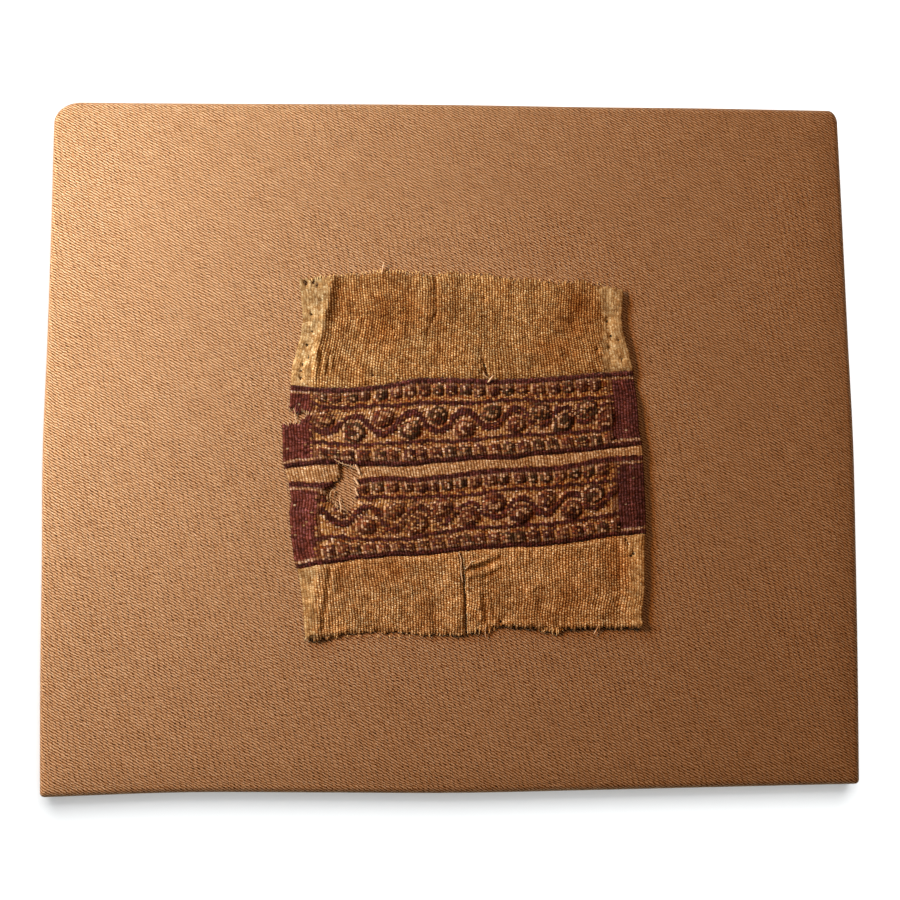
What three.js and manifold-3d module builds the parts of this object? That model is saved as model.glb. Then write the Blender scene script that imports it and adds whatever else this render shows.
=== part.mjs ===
// A fragment of an old tapestry-banded cloth, fixed to the face of a board that is covered in twill.
// The board lies on its back. Millimetres, +X to the right, +Y to the board's top edge, +Z out of its face,
// with the origin under the middle of the board.
import * as THREE from 'three';
import { mergeVertices } from 'three/addons/utils/BufferGeometryUtils.js';
import Module from 'manifold-3d';

// ---------- driving dimensions ----------
const CLEARANCE = 0.3;          // between pieces that lie on each other
const TWILL_THICKNESS = 1.0;
const BOARD_THICKNESS = 9.5;
const FRAGMENT_THICKNESS = 1.2;

const FACE_ROUND = 2.6;         // radius of the cover's bend over the board's front edge
const BACK_ROUND = 2.2;         // radius of the bend onto the back
const TURN_IN = 26;             // width of the margin turned onto the back
const FACE_BORDER = 8;          // ring of the face that follows the outline
const SHARPEST_CORNER = 0.3;    // least radius of a corner once it is inset

const MITRE_GAP = 0.5;          // the folded edges that meet on the back's diagonals
const MITRE_START = 7;          // distance of the mitre from the corner's two sides
const MITRE_OVERRUN = 2;        // how far its cut runs past the margin's inner edge

// Corners of the covered board, clockwise from the top left.
const CORNERS = [
  { name: 'top left',     x: -143.0, y:  123.1, radiusX: 9.5, radiusY: 8.0 },
  { name: 'top right',    x:  143.5, y:  123.2, radiusX: 3.6, radiusY: 5.0 },
  { name: 'bottom right', x:  143.3, y: -122.3, radiusX: 1.6, radiusY: 1.6 },
  { name: 'bottom left',  x: -143.4, y: -122.8, radiusX: 1.6, radiusY: 1.6 },
];
// Each side from its first corner to the next. bulges are how far it stands outwards at even steps
// between the two.
const SIDES = [
  { name: 'top',    steps: 16, bulges: [0.15, 0.50, 0.65,  0.40,  0.40] },
  { name: 'right',  steps: 14, bulges: [0.70, 1.30, 2.00,  1.60,  0.95] },
  { name: 'bottom', steps: 16, bulges: [0.30, 0.65, 0.85, -0.05, -0.85] },
  { name: 'left',   steps: 14, bulges: [0.75, 1.05, 1.55,  0.75,  0.25] },
];
const CORNER_STEPS = 5;
const BEND_STEPS = 3;

const FACE_LEVEL = 2 * TWILL_THICKNESS + 2 * CLEARANCE + BOARD_THICKNESS;
const CLOTH_TO_BOARD = TWILL_THICKNESS + CLEARANCE;

// Threads of the fragment that run across it, from the top edge to the bottom edge. left and right are
// where each meets the two selvedges, and the five heights are at even steps from left to right.
const CROSS_THREADS = [
  { name: 'top edge',           left: -54.6, right: 61.6, heights: [ 58.6,  61.2,  60.8,  57.6,  55.2] },
  { name: 'upper field',        left: -53.6, right: 60.9, heights: [ 46.0,  47.5,  47.5,  46.0,  45.0] },
  { name: 'upper field, low',   left: -56.0, right: 62.8, heights: [ 31.0,  32.5,  33.5,  33.0,  33.0] },
  { name: 'first band, top',    left: -57.7, right: 65.0, heights: [ 19.0,  18.9,  21.6,  22.2,  24.3] },
  { name: 'first vine, top',    left: -58.2, right: 65.8, heights: [ 14.3,  12.4,  13.5,  14.4,  16.6] },
  { name: 'first vine, foot',   left: -60.7, right: 66.3, heights: [ -0.2,  -0.8,  -0.1,   2.4,   4.6] },
  { name: 'first band, foot',   left: -60.4, right: 67.4, heights: [ -8.9,  -7.8,  -6.3,  -3.9,  -1.0] },
  { name: 'second band, top',   left: -58.5, right: 67.8, heights: [-15.5, -13.7, -11.9,  -9.7,  -6.0] },
  { name: 'second vine, top',   left: -57.6, right: 67.9, heights: [-21.6, -20.0, -19.3, -16.4, -13.6] },
  { name: 'second vine, foot',  left: -57.4, right: 68.2, heights: [-34.9, -34.8, -31.1, -29.3, -22.8] },
  { name: 'second band, foot',  left: -55.5, right: 68.0, heights: [-44.2, -40.6, -38.3, -36.4, -32.4] },
  { name: 'lower field',        left: -53.6, right: 67.2, heights: [-54.0, -51.0, -50.5, -49.0, -46.0] },
  { name: 'bottom edge',        left: -52.6, right: 66.0, heights: [-69.6, -68.0, -67.8, -66.6, -66.5] },
];
const THREAD_COLUMNS = 32;      // cells from selvedge to selvedge
const CELL_HEIGHT = 4.2;        // about the height of a cell along the selvedge

// Ridges where the fragment stands off the board, each a line with a rounded section.
const RIDGES = [
  { name: 'left border, top',    x1: -43.6, y1:  59.0, x2: -48.6, y2:  30.0, halfWidth: 3.4, rise: 1.3 },
  { name: 'left border, foot',   x1: -46.5, y1: -46.0, x2: -49.0, y2: -68.0, halfWidth: 3.2, rise: 1.1 },
  { name: 'left of the crease',  x1: -10.0, y1:  60.5, x2:  -9.0, y2:  46.0, halfWidth: 3.0, rise: 0.5 },
  { name: 'right of the crease', x1:  -2.5, y1:  60.5, x2:  -3.0, y2:  46.0, halfWidth: 3.0, rise: 0.5 },
  { name: 'right selvedge',      x1:  67.0, y1:  12.0, x2:  66.0, y2: -64.0, halfWidth: 4.5, rise: 1.0 },
  { name: 'right border, top',   x1:  60.0, y1:  54.0, x2:  63.5, y2:  28.0, halfWidth: 4.0, rise: 1.1 },
  { name: 'left of the slit',    x1:   0.5, y1: -46.0, x2:   1.0, y2: -68.0, halfWidth: 3.0, rise: 0.6 },
  { name: 'right of the slit',   x1:   7.0, y1: -50.0, x2:   7.5, y2: -67.0, halfWidth: 3.0, rise: 0.8 },
  { name: 'above the hole',      x1: -47.0, y1:  -7.0, x2: -33.0, y2:  -6.0, halfWidth: 3.0, rise: 0.6 },
  { name: 'left of the hole',    x1: -49.0, y1: -12.0, x2: -48.0, y2: -24.0, halfWidth: 3.0, rise: 0.6 },
];
const SETTLE = 0.45;            // how unevenly the rest of it lies, in long slanting waves
const SETTLE_WAVES = [
  { name: 'across', everyX: 44.6, everyY: 119.4 },
  { name: 'up',     everyX: -144.5, everyY: 52.2 },
];
const BAND_PUFF = 0.35;         // the packed tapestry is thicker than the plain cloth

// Places where cloth is missing.
const LOSSES = [
  { name: 'hole', outline: [
    { x: -41.0, y:  -7.4 }, { x: -35.2, y:  -9.2 }, { x: -33.4, y: -11.8 }, { x: -35.2, y: -13.6 },
    { x: -33.8, y: -15.6 }, { x: -34.9, y: -17.2 }, { x: -34.1, y: -22.4 }, { x: -36.4, y: -24.7 },
    { x: -39.6, y: -24.5 }, { x: -42.4, y: -23.0 }, { x: -45.4, y: -19.2 }, { x: -46.0, y: -16.3 },
    { x: -43.0, y: -16.4 }, { x: -39.6, y: -11.0 }, { x: -41.6, y:  -9.4 } ] },
  { name: 'torn notch', outline: [
    { x: -64.0, y:   6.2 }, { x: -54.2, y:   6.6 }, { x: -51.6, y:   9.0 }, { x: -51.2, y:  10.6 },
    { x: -56.2, y:  10.4 }, { x: -57.4, y:  12.4 }, { x: -64.0, y:  12.9 } ] },
  { name: 'slit', outline: [
    { x:   1.9, y: -40.4 }, { x:   2.4, y: -40.4 }, { x:   3.3, y: -50.0 }, { x:   4.1, y: -60.0 },
    { x:   4.6, y: -74.0 }, { x:   3.5, y: -74.0 }, { x:   3.2, y: -60.0 }, { x:   2.5, y: -48.0 } ] },
  { name: 'small tear', outline: [
    { x:  10.8, y:  28.6 }, { x:  12.2, y:  25.6 }, { x:  12.6, y:  22.4 }, { x:  11.4, y:  24.4 } ] },
];

// ---------- helpers ----------
const wasm = await Module();
wasm.setup();

// A closed mesh with its shared corners merged, as a solid for cutting.
function solidOf(geometry) {
  const plain = geometry.clone();
  plain.deleteAttribute('normal');
  plain.deleteAttribute('uv');
  const merged = mergeVertices(plain, 1e-4);
  return new wasm.Manifold(new wasm.Mesh({
    numProp: 3,
    vertProperties: new Float32Array(merged.attributes.position.array),
    triVerts: new Uint32Array(merged.index.array),
  }));
}

function geometryOf(solid) {
  const { vertProperties, triVerts } = solid.getMesh();
  const geometry = new THREE.BufferGeometry();
  geometry.setAttribute('position', new THREE.BufferAttribute(new Float32Array(vertProperties), 3));
  geometry.setIndex(new THREE.BufferAttribute(new Uint32Array(triVerts), 1));
  geometry.computeVertexNormals();
  return geometry;
}

function geometryFrom(points, triangles) {
  const geometry = new THREE.BufferGeometry().setFromPoints(points);
  geometry.setIndex(triangles.flat());
  geometry.computeVertexNormals();
  return geometry;
}

const smooth = (t) => t * t * (3 - 2 * t);

// A smooth curve through evenly spaced values, at a share of the way along it.
function curveAt(values, share) {
  return new THREE.SplineCurve(values.map((y, i) => new THREE.Vector2(i, y))).getPoint(share).y;
}

// ---------- board and cover ----------
// The closed outline of the covered board, taken in by inset. Every inset gives the same number of
// points, so that outlines at different insets join up one to one.
function outline(inset) {
  const points = [];
  CORNERS.forEach((corner, k) => {
    const next = CORNERS[(k + 1) % CORNERS.length];
    const start = cornerArc(corner, inset);
    points.push(...start);
    const from = start[start.length - 1];
    const to = cornerArc(next, inset)[0];
    const side = SIDES[k];
    const outward = new THREE.Vector2(-(to.y - from.y), to.x - from.x).normalize();
    for (let i = 1; i < side.steps; i++) {
      const along = i / side.steps;
      points.push(from.clone().lerp(to, along).addScaledVector(outward, curveAt([0, ...side.bulges, 0], along)));
    }
  });
  return points.reverse();
}

function cornerArc(corner, inset) {
  const radiusX = Math.max(corner.radiusX - inset, SHARPEST_CORNER);
  const radiusY = Math.max(corner.radiusY - inset, SHARPEST_CORNER);
  const signX = Math.sign(corner.x);
  const signY = Math.sign(corner.y);
  const centreX = corner.x - signX * (radiusX + inset);
  const centreY = corner.y - signY * (radiusY + inset);
  const middle = Math.atan2(signY, signX);
  return Array.from({ length: CORNER_STEPS + 1 }, (_, i) => {
    const angle = middle + Math.PI / 4 - (Math.PI / 2) * (i / CORNER_STEPS);
    return new THREE.Vector2(centreX + radiusX * Math.cos(angle), centreY + radiusY * Math.sin(angle));
  });
}

// Rings of a section that starts on the face, bends over the front edge, goes down the side and bends
// under. taken is how far the section lies inside the cover's outer skin.
function edgeRings(taken) {
  const top = FACE_LEVEL - taken;
  const front = FACE_ROUND - taken;
  const back = BACK_ROUND - taken;
  const rings = [{ inset: FACE_BORDER, z: top }];
  for (let i = 0; i <= BEND_STEPS; i++) {
    const turn = (Math.PI / 2) * (i / BEND_STEPS);
    rings.push({ inset: FACE_ROUND - front * Math.sin(turn), z: top - front * (1 - Math.cos(turn)) });
  }
  for (let i = 0; i <= BEND_STEPS; i++) {
    const turn = (Math.PI / 2) * (i / BEND_STEPS);
    rings.push({ inset: BACK_ROUND - back * Math.cos(turn), z: taken + back * (1 - Math.sin(turn)) });
  }
  return rings;
}

// Joins rings one after another, and closes the first and the last with a flat cap.
function loft(rings) {
  const points = [];
  const triangles = [];
  const outlines = rings.map((ring) => outline(ring.inset));
  const count = outlines[0].length;
  outlines.forEach((ringOutline, k) => {
    ringOutline.forEach((p) => points.push(new THREE.Vector3(p.x, p.y, rings[k].z)));
  });
  for (let k = 0; k + 1 < rings.length; k++) {
    for (let i = 0; i < count; i++) {
      const j = (i + 1) % count;
      const here = k * count;
      const there = here + count;
      triangles.push([here + i, there + i, there + j], [here + i, there + j, here + j]);
    }
  }
  const last = (rings.length - 1) * count;
  for (const [a, b, c] of THREE.ShapeUtils.triangulateShape(outlines[0], [])) triangles.push([a, b, c]);
  for (const [a, b, c] of THREE.ShapeUtils.triangulateShape(outlines[rings.length - 1], [])) {
    triangles.push([last + a, last + c, last + b]);
  }
  return geometryFrom(points, triangles);
}

function boardGeometry() {
  return loft(edgeRings(CLOTH_TO_BOARD));
}

function coverGeometry() {
  const outside = edgeRings(0);
  const inside = edgeRings(TWILL_THICKNESS).reverse();
  const margin = [{ inset: TURN_IN, z: 0 }, { inset: TURN_IN, z: TWILL_THICKNESS }];
  let cover = solidOf(loft([...outside, ...margin, ...inside]));
  for (const corner of CORNERS) cover = cover.subtract(mitreCut(corner));
  return geometryOf(cover);
}

// A thin upright blade on the diagonal of one corner of the back, where two folded edges meet.
function mitreCut(corner) {
  const reach = TURN_IN - MITRE_START + MITRE_OVERRUN;
  const blade = new THREE.BoxGeometry(reach * Math.SQRT2, MITRE_GAP, 2 * TWILL_THICKNESS + CLEARANCE);
  const signX = Math.sign(corner.x);
  const signY = Math.sign(corner.y);
  blade.rotateZ(Math.atan2(signY, signX));
  const middle = MITRE_START + reach / 2;
  blade.translate(corner.x - signX * middle, corner.y - signY * middle, 0);
  return solidOf(blade);
}

// ---------- fragment ----------
// Rises of the ridges, and the slight unevenness of the rest, above the lowest the cloth can lie.
function lift(x, y) {
  let rise = 0;
  for (const wave of SETTLE_WAVES) {
    const phase = 2 * Math.PI * (x / wave.everyX + y / wave.everyY);
    rise += SETTLE * (1 + Math.sin(phase)) / (2 * SETTLE_WAVES.length);
  }
  for (const ridge of RIDGES) {
    const line = new THREE.Line3(
      new THREE.Vector3(ridge.x1, ridge.y1, 0), new THREE.Vector3(ridge.x2, ridge.y2, 0));
    const here = new THREE.Vector3(x, y, 0);
    const nearest = line.closestPointToPoint(here, true, new THREE.Vector3());
    const away = Math.min(nearest.distanceTo(here) / (2 * ridge.halfWidth), 1);
    rise += ridge.rise * smooth(1 - away);
  }
  return rise;
}

function fragmentGrid() {
  const rows = [];
  CROSS_THREADS.forEach((thread, k) => {
    const next = CROSS_THREADS[k + 1];
    const steps = next ? Math.max(1, Math.round((thread.heights[0] - next.heights[0]) / CELL_HEIGHT)) : 1;
    for (let i = 0; i < steps; i++) {
      const down = next ? i / steps : 0;
      const below = next ?? thread;
      const left = THREE.MathUtils.lerp(thread.left, below.left, down);
      const right = THREE.MathUtils.lerp(thread.right, below.right, down);
      const inBand = thread.name.includes('band, top') || thread.name.includes('vine');
      const row = [];
      for (let c = 0; c <= THREAD_COLUMNS; c++) {
        const across = c / THREAD_COLUMNS;
        const x = THREE.MathUtils.lerp(left, right, across);
        const y = THREE.MathUtils.lerp(
          curveAt(thread.heights, across), curveAt(below.heights, across), down);
        row.push({ x, y, puff: inBand ? BAND_PUFF : 0 });
      }
      rows.push(row);
    }
  });
  return rows;
}

function fragmentGeometry() {
  const rows = fragmentGrid();
  const width = THREAD_COLUMNS + 1;
  const count = rows.length * width;
  const points = [];
  for (const onTop of [true, false]) {
    for (const { x, y, puff } of rows.flat()) {
      const under = FACE_LEVEL + CLEARANCE + lift(x, y);
      points.push(new THREE.Vector3(x, y, onTop ? under + FRAGMENT_THICKNESS + puff : under));
    }
  }
  const triangles = [];
  const quad = (a, b, c, d) => triangles.push([a, b, c], [a, c, d]);
  const rim = [];
  for (let r = 0; r + 1 < rows.length; r++) {
    for (let c = 0; c < THREAD_COLUMNS; c++) {
      const a = r * width + c;
      const b = a + width;
      quad(a, b, b + 1, a + 1);
      quad(count + a, count + a + 1, count + b + 1, count + b);
    }
  }
  for (let c = 0; c < THREAD_COLUMNS; c++) rim.push(c);
  for (let r = 0; r + 1 < rows.length; r++) rim.push(r * width + THREAD_COLUMNS);
  for (let c = THREAD_COLUMNS; c > 0; c--) rim.push((rows.length - 1) * width + c);
  for (let r = rows.length - 1; r > 0; r--) rim.push(r * width);
  rim.forEach((a, i) => {
    const b = rim[(i + 1) % rim.length];
    quad(a, b, count + b, count + a);
  });
  let sheet = solidOf(geometryFrom(points, triangles));
  for (const loss of LOSSES) sheet = sheet.subtract(lossCut(loss));
  return geometryOf(sheet);
}

function lossCut(loss) {
  const shape = new THREE.Shape(loss.outline.map(({ x, y }) => new THREE.Vector2(x, y)));
  const cut = new THREE.ExtrudeGeometry(shape, { depth: FACE_LEVEL, bevelEnabled: false });
  cut.translate(0, 0, FACE_LEVEL - CLEARANCE);
  return solidOf(cut);
}

// ---------- the mounted fragment ----------
const group = new THREE.Group();

function addPiece(name, geometry, color, roughness) {
  const mesh = new THREE.Mesh(geometry, new THREE.MeshStandardMaterial({ color, roughness, metalness: 0 }));
  mesh.name = name;
  group.add(mesh);
}

addPiece('mount_board', boardGeometry(), 0xb99b74, 0.8);
addPiece('mount_cover', coverGeometry(), 0xa9784c, 0.9);
addPiece('textile_fragment', fragmentGeometry(), 0xa8793d, 0.95);

export default group;
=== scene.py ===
from collections import namedtuple

import bpy
import numpy as np
from mathutils import Matrix, Vector


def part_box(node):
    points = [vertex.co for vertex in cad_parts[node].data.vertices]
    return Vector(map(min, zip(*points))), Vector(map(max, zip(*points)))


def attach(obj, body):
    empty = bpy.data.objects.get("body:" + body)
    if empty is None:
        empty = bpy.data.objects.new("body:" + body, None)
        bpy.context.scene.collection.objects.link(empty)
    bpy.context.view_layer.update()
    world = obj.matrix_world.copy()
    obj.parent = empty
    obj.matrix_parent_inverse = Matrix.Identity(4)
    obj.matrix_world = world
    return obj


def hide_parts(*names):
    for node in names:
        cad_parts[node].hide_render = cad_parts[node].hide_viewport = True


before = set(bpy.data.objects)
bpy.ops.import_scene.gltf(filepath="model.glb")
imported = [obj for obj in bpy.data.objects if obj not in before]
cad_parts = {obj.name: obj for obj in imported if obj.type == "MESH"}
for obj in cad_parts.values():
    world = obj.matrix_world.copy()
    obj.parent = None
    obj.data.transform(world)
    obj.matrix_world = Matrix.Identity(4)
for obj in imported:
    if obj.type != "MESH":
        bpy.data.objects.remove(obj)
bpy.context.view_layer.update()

MM = 0.001

# ---------- sizes ----------
FACE_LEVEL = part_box("mount_cover")[1].z / MM  # the twill's face, where the fragment lies
TWILL_THICKNESS = 1.0
FACE_ROUND = 2.6                   # bend over the board's front edge
BACK_ROUND = 2.2                   # bend onto the back
TURN_IN = 26.0                     # margin turned onto the back
SHARPEST_CORNER = 0.3
EDGE_FALL = 0.55                   # how much lower the face is where it starts to bend
EDGE_REACH = 9.0                   # and over what width it falls
EDGE_LEAN = 2 * EDGE_FALL / EDGE_REACH  # its slope there

Corner = namedtuple("Corner", "name x y radius_x radius_y")
CORNERS = [Corner(*row) for row in (
    ("top left", -143.0, 123.1, 9.5, 8.0),
    ("top right", 143.5, 123.2, 3.6, 5.0),
    ("bottom right", 143.3, -122.3, 1.6, 1.6),
    ("bottom left", -143.4, -122.8, 1.6, 1.6),
)]
# Each side from its first corner to the next. bulges are how far it stands outwards at even steps.
Side = namedtuple("Side", "name steps bulges")
SIDES = [Side(*row) for row in (
    ("top", 90, (0.15, 0.50, 0.65, 0.40, 0.40)),
    ("right", 76, (0.70, 1.30, 2.00, 1.60, 0.95)),
    ("bottom", 90, (0.30, 0.65, 0.85, -0.05, -0.85)),
    ("left", 76, (0.75, 1.05, 1.55, 0.75, 0.25)),
)]
CORNER_STEPS = 12
BEND_STEPS = 9
EDGE_STEPS = 8
MARGIN_STEPS = 8
FACE_RING = 4.0                    # width of the rings that the face is made in
DEEPEST_RING = 118.0               # inset of the one in its middle
INNER_RINGS = (30.0, 60.0, 90.0, 112.0)  # insets of the rings of the cover's inner skin
SIDE_RUN = 7.3                     # cloth down the side, from one bend to the other
SIDE_SHARES = (0.33, 0.67)         # shares of the way down where the side has its rings
FACE_SAG, SAG_SPAN = 0.14, 34.0    # how unevenly the face lies, in soft patches
BACK_CORNER = 1.2                  # least radius of a corner on the back
LAYOUT_SPAN = 400.0                # more than the whole sheet's width
INNER_AT, INNER_SPAN = 0.97, 0.02  # where the inner skin lies in the layout, and how wide

# Cross threads of the fragment: heights at nine even steps from the left selvedge to the right one.
THREADS = {
    "head":        (61.0, 62.0, 63.8, 63.4, 63.0, 62.2, 60.8, 60.4, 57.0),
    "first top":   (19.1, 17.9, 19.0, 21.6, 21.6, 21.2, 22.1, 23.5, 24.3),
    "first upper": (14.6, 12.0, 12.4, 13.5, 13.4, 14.4, 14.3, 15.4, 16.6),
    "first lower": (-0.2, -0.7, -1.2, -0.2, -0.2, 1.4, 2.4, 3.6, 4.6),
    "first foot":  (-9.0, -7.5, -8.2, -7.7, -6.3, -5.8, -3.9, -2.7, -1.0),
    "second top":  (-15.4, -15.7, -13.4, -13.7, -11.9, -10.4, -9.9, -7.4, -6.0),
    "second upper": (-21.6, -20.4, -20.0, -19.9, -19.2, -17.4, -16.4, -15.0, -13.6),
    "second lower": (-34.9, -33.9, -34.8, -33.5, -31.1, -30.6, -29.3, -27.0, -22.8),
    "second foot": (-44.2, -41.8, -40.2, -39.6, -38.1, -37.1, -36.2, -34.0, -32.4),
    "tail":        (-72.0, -71.0, -70.4, -70.4, -70.2, -69.8, -69.6, -69.0, -69.0),
}
# The two selvedges, as places down their length.
Edge = namedtuple("Edge", "y x")
LEFT_SELVEDGE = [Edge(*row) for row in (
    (62, -54.8), (57, -54.7), (50, -54.0), (44, -53.5), (37, -54.4), (31, -56.1), (26, -57.4),
    (20, -57.8), (13, -58.2), (6, -60.7), (-6, -60.5), (-10, -59.8), (-15, -58.4), (-21, -57.4),
    (-25, -58.2), (-34, -57.5), (-41, -56.5), (-47, -54.9), (-55, -53.6), (-65, -52.8), (-74, -52.4),
)]
RIGHT_SELVEDGE = [Edge(*row) for row in (
    (60, 61.6), (52, 61.5), (44, 60.8), (39, 61.3), (32, 63.2), (25, 64.7), (15, 65.8), (4, 66.3),
    (-3, 67.5), (-16, 67.9), (-31, 68.2), (-38, 67.5), (-54, 67.2), (-60, 66.1), (-72, 66.0),
)]
# Where the cloth is torn off across the top and the bottom.
TORN_TOP = [Edge(*row) for row in (
    (58.8, -54.8), (59.3, -50.0), (58.6, -44.6), (60.1, -41.8), (60.0, -33.6), (61.3, -27.6),
    (62.3, -24.8), (61.2, -21.0), (60.5, -13.9), (60.0, -6.0), (61.4, 0.8), (60.2, 3.3), (60.6, 9.8),
    (59.5, 18.0), (58.8, 21.0), (59.0, 27.0), (57.4, 34.0), (57.8, 43.0), (59.2, 47.0), (57.4, 50.0),
    (56.2, 54.0), (56.0, 59.0), (54.6, 62.0),
)]
TORN_BOTTOM = [Edge(*row) for row in (
    (-68.8, -54.0), (-69.7, -50.0), (-68.9, -46.0), (-67.5, -38.0), (-67.5, -24.0), (-68.0, -7.0),
    (-68.6, 2.0), (-67.3, 5.0), (-67.0, 10.0), (-66.0, 13.0), (-65.0, 17.0), (-66.4, 29.5), (-67.6, 32.0),
    (-68.0, 36.0), (-66.6, 38.5), (-66.1, 53.0), (-66.5, 67.0),
)]

Line = namedtuple("Line", "name x1 y1 x2 y2 half_width rise")
RIDGES = [Line(*row) for row in (
    ("left border, top", -43.6, 59, -48.6, 30, 3.4, 1.3),
    ("left border, foot", -46.5, -46, -49, -68, 3.2, 1.1),
    ("left of the crease", -10, 60.5, -9, 46, 3.0, 0.5),
    ("right of the crease", -2.5, 60.5, -3, 46, 3.0, 0.5),
    ("right selvedge", 67, 12, 66, -64, 4.5, 1.0),
    ("right border, top", 60, 54, 63.5, 28, 4.0, 1.1),
    ("left of the slit", 0.5, -46, 1, -68, 3.0, 0.6),
    ("right of the slit", 7, -50, 7.5, -67, 3.0, 0.8),
    ("above the hole", -47, -7, -33, -6, 3.0, 0.6),
    ("left of the hole", -49, -12, -48, -24, 3.0, 0.6),
)]
SETTLE = 0.45                      # how far slow waves lift the cloth off the twill, at most
Wave = namedtuple("Wave", "every_x every_y")
SETTLE_WAVES = [Wave(44.6, 119.4), Wave(-144.5, 52.2)]

# Creases finer than the ridges. A fall is a negative rise.
CREASES = [Line(*row) for row in (
    ("trough by the left border", -39.9, 60, -41.7, 46, 1.6, -0.40),
    ("middle of the trough", -41.7, 46, -44.4, 39, 1.5, -0.35),
    ("foot of the trough", -44.4, 39, -47.2, 26, 1.3, -0.25),
    ("fold of the left border", -42.9, 59, -45.6, 45, 1.1, 0.40),
    ("second fold of the border", -45.6, 45, -49.2, 30, 0.9, 0.30),
    ("upright crease", -6.0, 61, -6.1, 45, 0.5, -0.5),
    ("left foot border", -43.6, -44, -46.4, -67, 0.8, -0.5),
    ("left foot fold", -47.4, -45, -52.0, -66, 0.9, 0.35),
    ("pucker above the tear", 8.0, 30, 15.5, 26.5, 0.9, 0.45),
    ("pucker by the tear", 9.6, 26, 7.2, 22.6, 0.8, 0.35),
    ("right border, top", 55.6, 54, 57.0, 26, 0.9, -0.35),
    ("right border, foot", 58.4, -36, 58.6, -66, 0.9, -0.3),
    ("fold by the slit", 4.4, -44.2, 8.4, -43.4, 0.8, 0.80),
    ("second fold by the slit", 8.4, -43.4, 14.8, -40.4, 0.8, 0.65),
    ("under the fold", 3.6, -46.0, 10.4, -44.4, 0.6, -0.85),
    ("second under the fold", 10.4, -44.4, 15.6, -41.8, 0.6, -0.45),
    ("pucker beside the slit", 5.0, -58.0, 8.4, -59.0, 0.7, 0.5),
    ("third fold by the slit", 5.0, -48.2, 9.6, -47.0, 0.7, 0.55),
    ("fourth fold by the slit", 12.0, -46.0, 17.6, -43.4, 0.7, 0.50),
    ("between the folds", 9.8, -49.0, 14.6, -46.6, 0.6, -0.45),
    ("bunched ribs, first", 8.4, -54.0, 9.0, -63.0, 0.5, 0.40),
    ("bunched ribs, second", 10.2, -55.0, 10.9, -63.5, 0.5, -0.40),
    ("bunched ribs, third", 12.0, -55.5, 12.8, -63.0, 0.5, 0.40),
    ("dent at the foot", 30.0, -57.6, 33.6, -59.4, 0.9, -0.45),
    ("small pucker", 26.0, -53.6, 29.6, -51.0, 0.7, 0.35),
    ("crumple, first", -50.0, 33.0, -50.8, 24.0, 0.5, -0.45),
    ("crumple, second", -48.4, 32.4, -49.2, 22.4, 0.55, 0.5),
    ("crumple, third", -46.9, 31.0, -47.6, 24.0, 0.5, -0.5),
    ("crumple, fourth", -45.5, 29.4, -46.0, 24.4, 0.55, 0.5),
    ("crumple, fifth", -44.3, 28.6, -44.8, 24.0, 0.45, -0.45),
    ("crumple, sixth", -43.0, 29.4, -43.5, 25.0, 0.5, 0.4),
    ("low right side", 66.2, -9, 66.6, -29, 3.0, -0.5),
    ("rolled foot, middle", 14.0, -64.8, 30.0, -65.6, 1.1, 0.8),
    ("rolled foot, right", 38.0, -65.8, 66.0, -65.6, 1.1, 0.8),
    ("foot curl", -51.0, -68.0, -37.0, -67.0, 0.8, 0.5),
    ("faint wrinkle", -9.0, 38.1, 1.9, 39.1, 0.6, -0.3),
    ("under the upright crease", -5.6, 46.0, -9.4, 39.0, 0.6, -0.35),
)]

Loss = namedtuple("Loss", "name outline")
LOSSES = [
    Loss("hole", [
        (-41.0, -7.4), (-35.2, -9.2), (-33.4, -11.8), (-35.2, -13.6), (-33.8, -15.6), (-34.9, -17.2),
        (-34.1, -22.4), (-36.4, -24.7), (-39.6, -24.5), (-42.4, -23.0), (-45.4, -19.2), (-46.0, -16.3),
        (-43.0, -16.4), (-39.6, -11.0), (-41.6, -9.4)]),
    Loss("torn notch", [
        (-64.0, 6.2), (-54.2, 6.6), (-51.6, 9.0), (-51.2, 10.6), (-56.2, 10.4), (-57.4, 12.4),
        (-64.0, 12.9)]),
]
SLITS = [
    Loss("slit", [
        (1.9, -40.4), (2.4, -40.4), (3.3, -50.0), (4.1, -60.0), (4.6, -74.0), (3.5, -74.0), (3.2, -60.0),
        (2.5, -48.0)]),
    Loss("small tear", [(10.8, 28.6), (12.2, 25.6), (12.6, 22.4), (11.4, 24.4)]),
]

Hole = namedtuple("Hole", "x y radius")
PINHOLES = [Hole(*row) for row in (
    (-50.5, 45.2, 0.45), (-50.5, 38.9, 0.40), (-52.1, 34.4, 0.45), (-54.1, 25.0, 0.50),
    (-54.3, 22.5, 0.40), (-52.6, 56.7, 0.75), (-49.9, 57.1, 0.55), (-48.7, 55.8, 0.50),
    (-28.9, 23.4, 0.50), (11.3, 51.4, 0.40), (57.0, 37.7, 0.42), (55.6, 43.4, 0.30), (59.5, 36.0, 0.30),
    (56.4, 33.4, 0.34), (51.9, 33.2, 0.30), (60.8, 29.4, 0.34), (60.9, -35.8, 0.45), (61.8, -36.8, 0.35),
    (63.5, -40.5, 0.40), (62.7, -41.4, 0.45), (15.9, -63.8, 0.50), (-51.6, 30.2, 0.35),
    (-53.4, 27.6, 0.35), (-47.2, 50.4, 0.35),
)]

# ---------- numbers ----------

PATCH_GRID = (67, 71)              # after how many patches the noise repeats
FAR_OFF = 400                      # keeps whole numbers of patches above 0


def smooth(t):
    t = np.clip(t, 0.0, 1.0)
    return t * t * (3 - 2 * t)


def mix(a, b, share):
    return a + (b - a) * share


def deepened(share):
    """Tints of wool in a share of its full light: warmer when dark, paler when bright."""
    share = np.clip(share, 0.02, None)
    return np.stack([share, 1.07 * share ** 1.5, 1.18 * share ** 2.2], -1)


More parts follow.
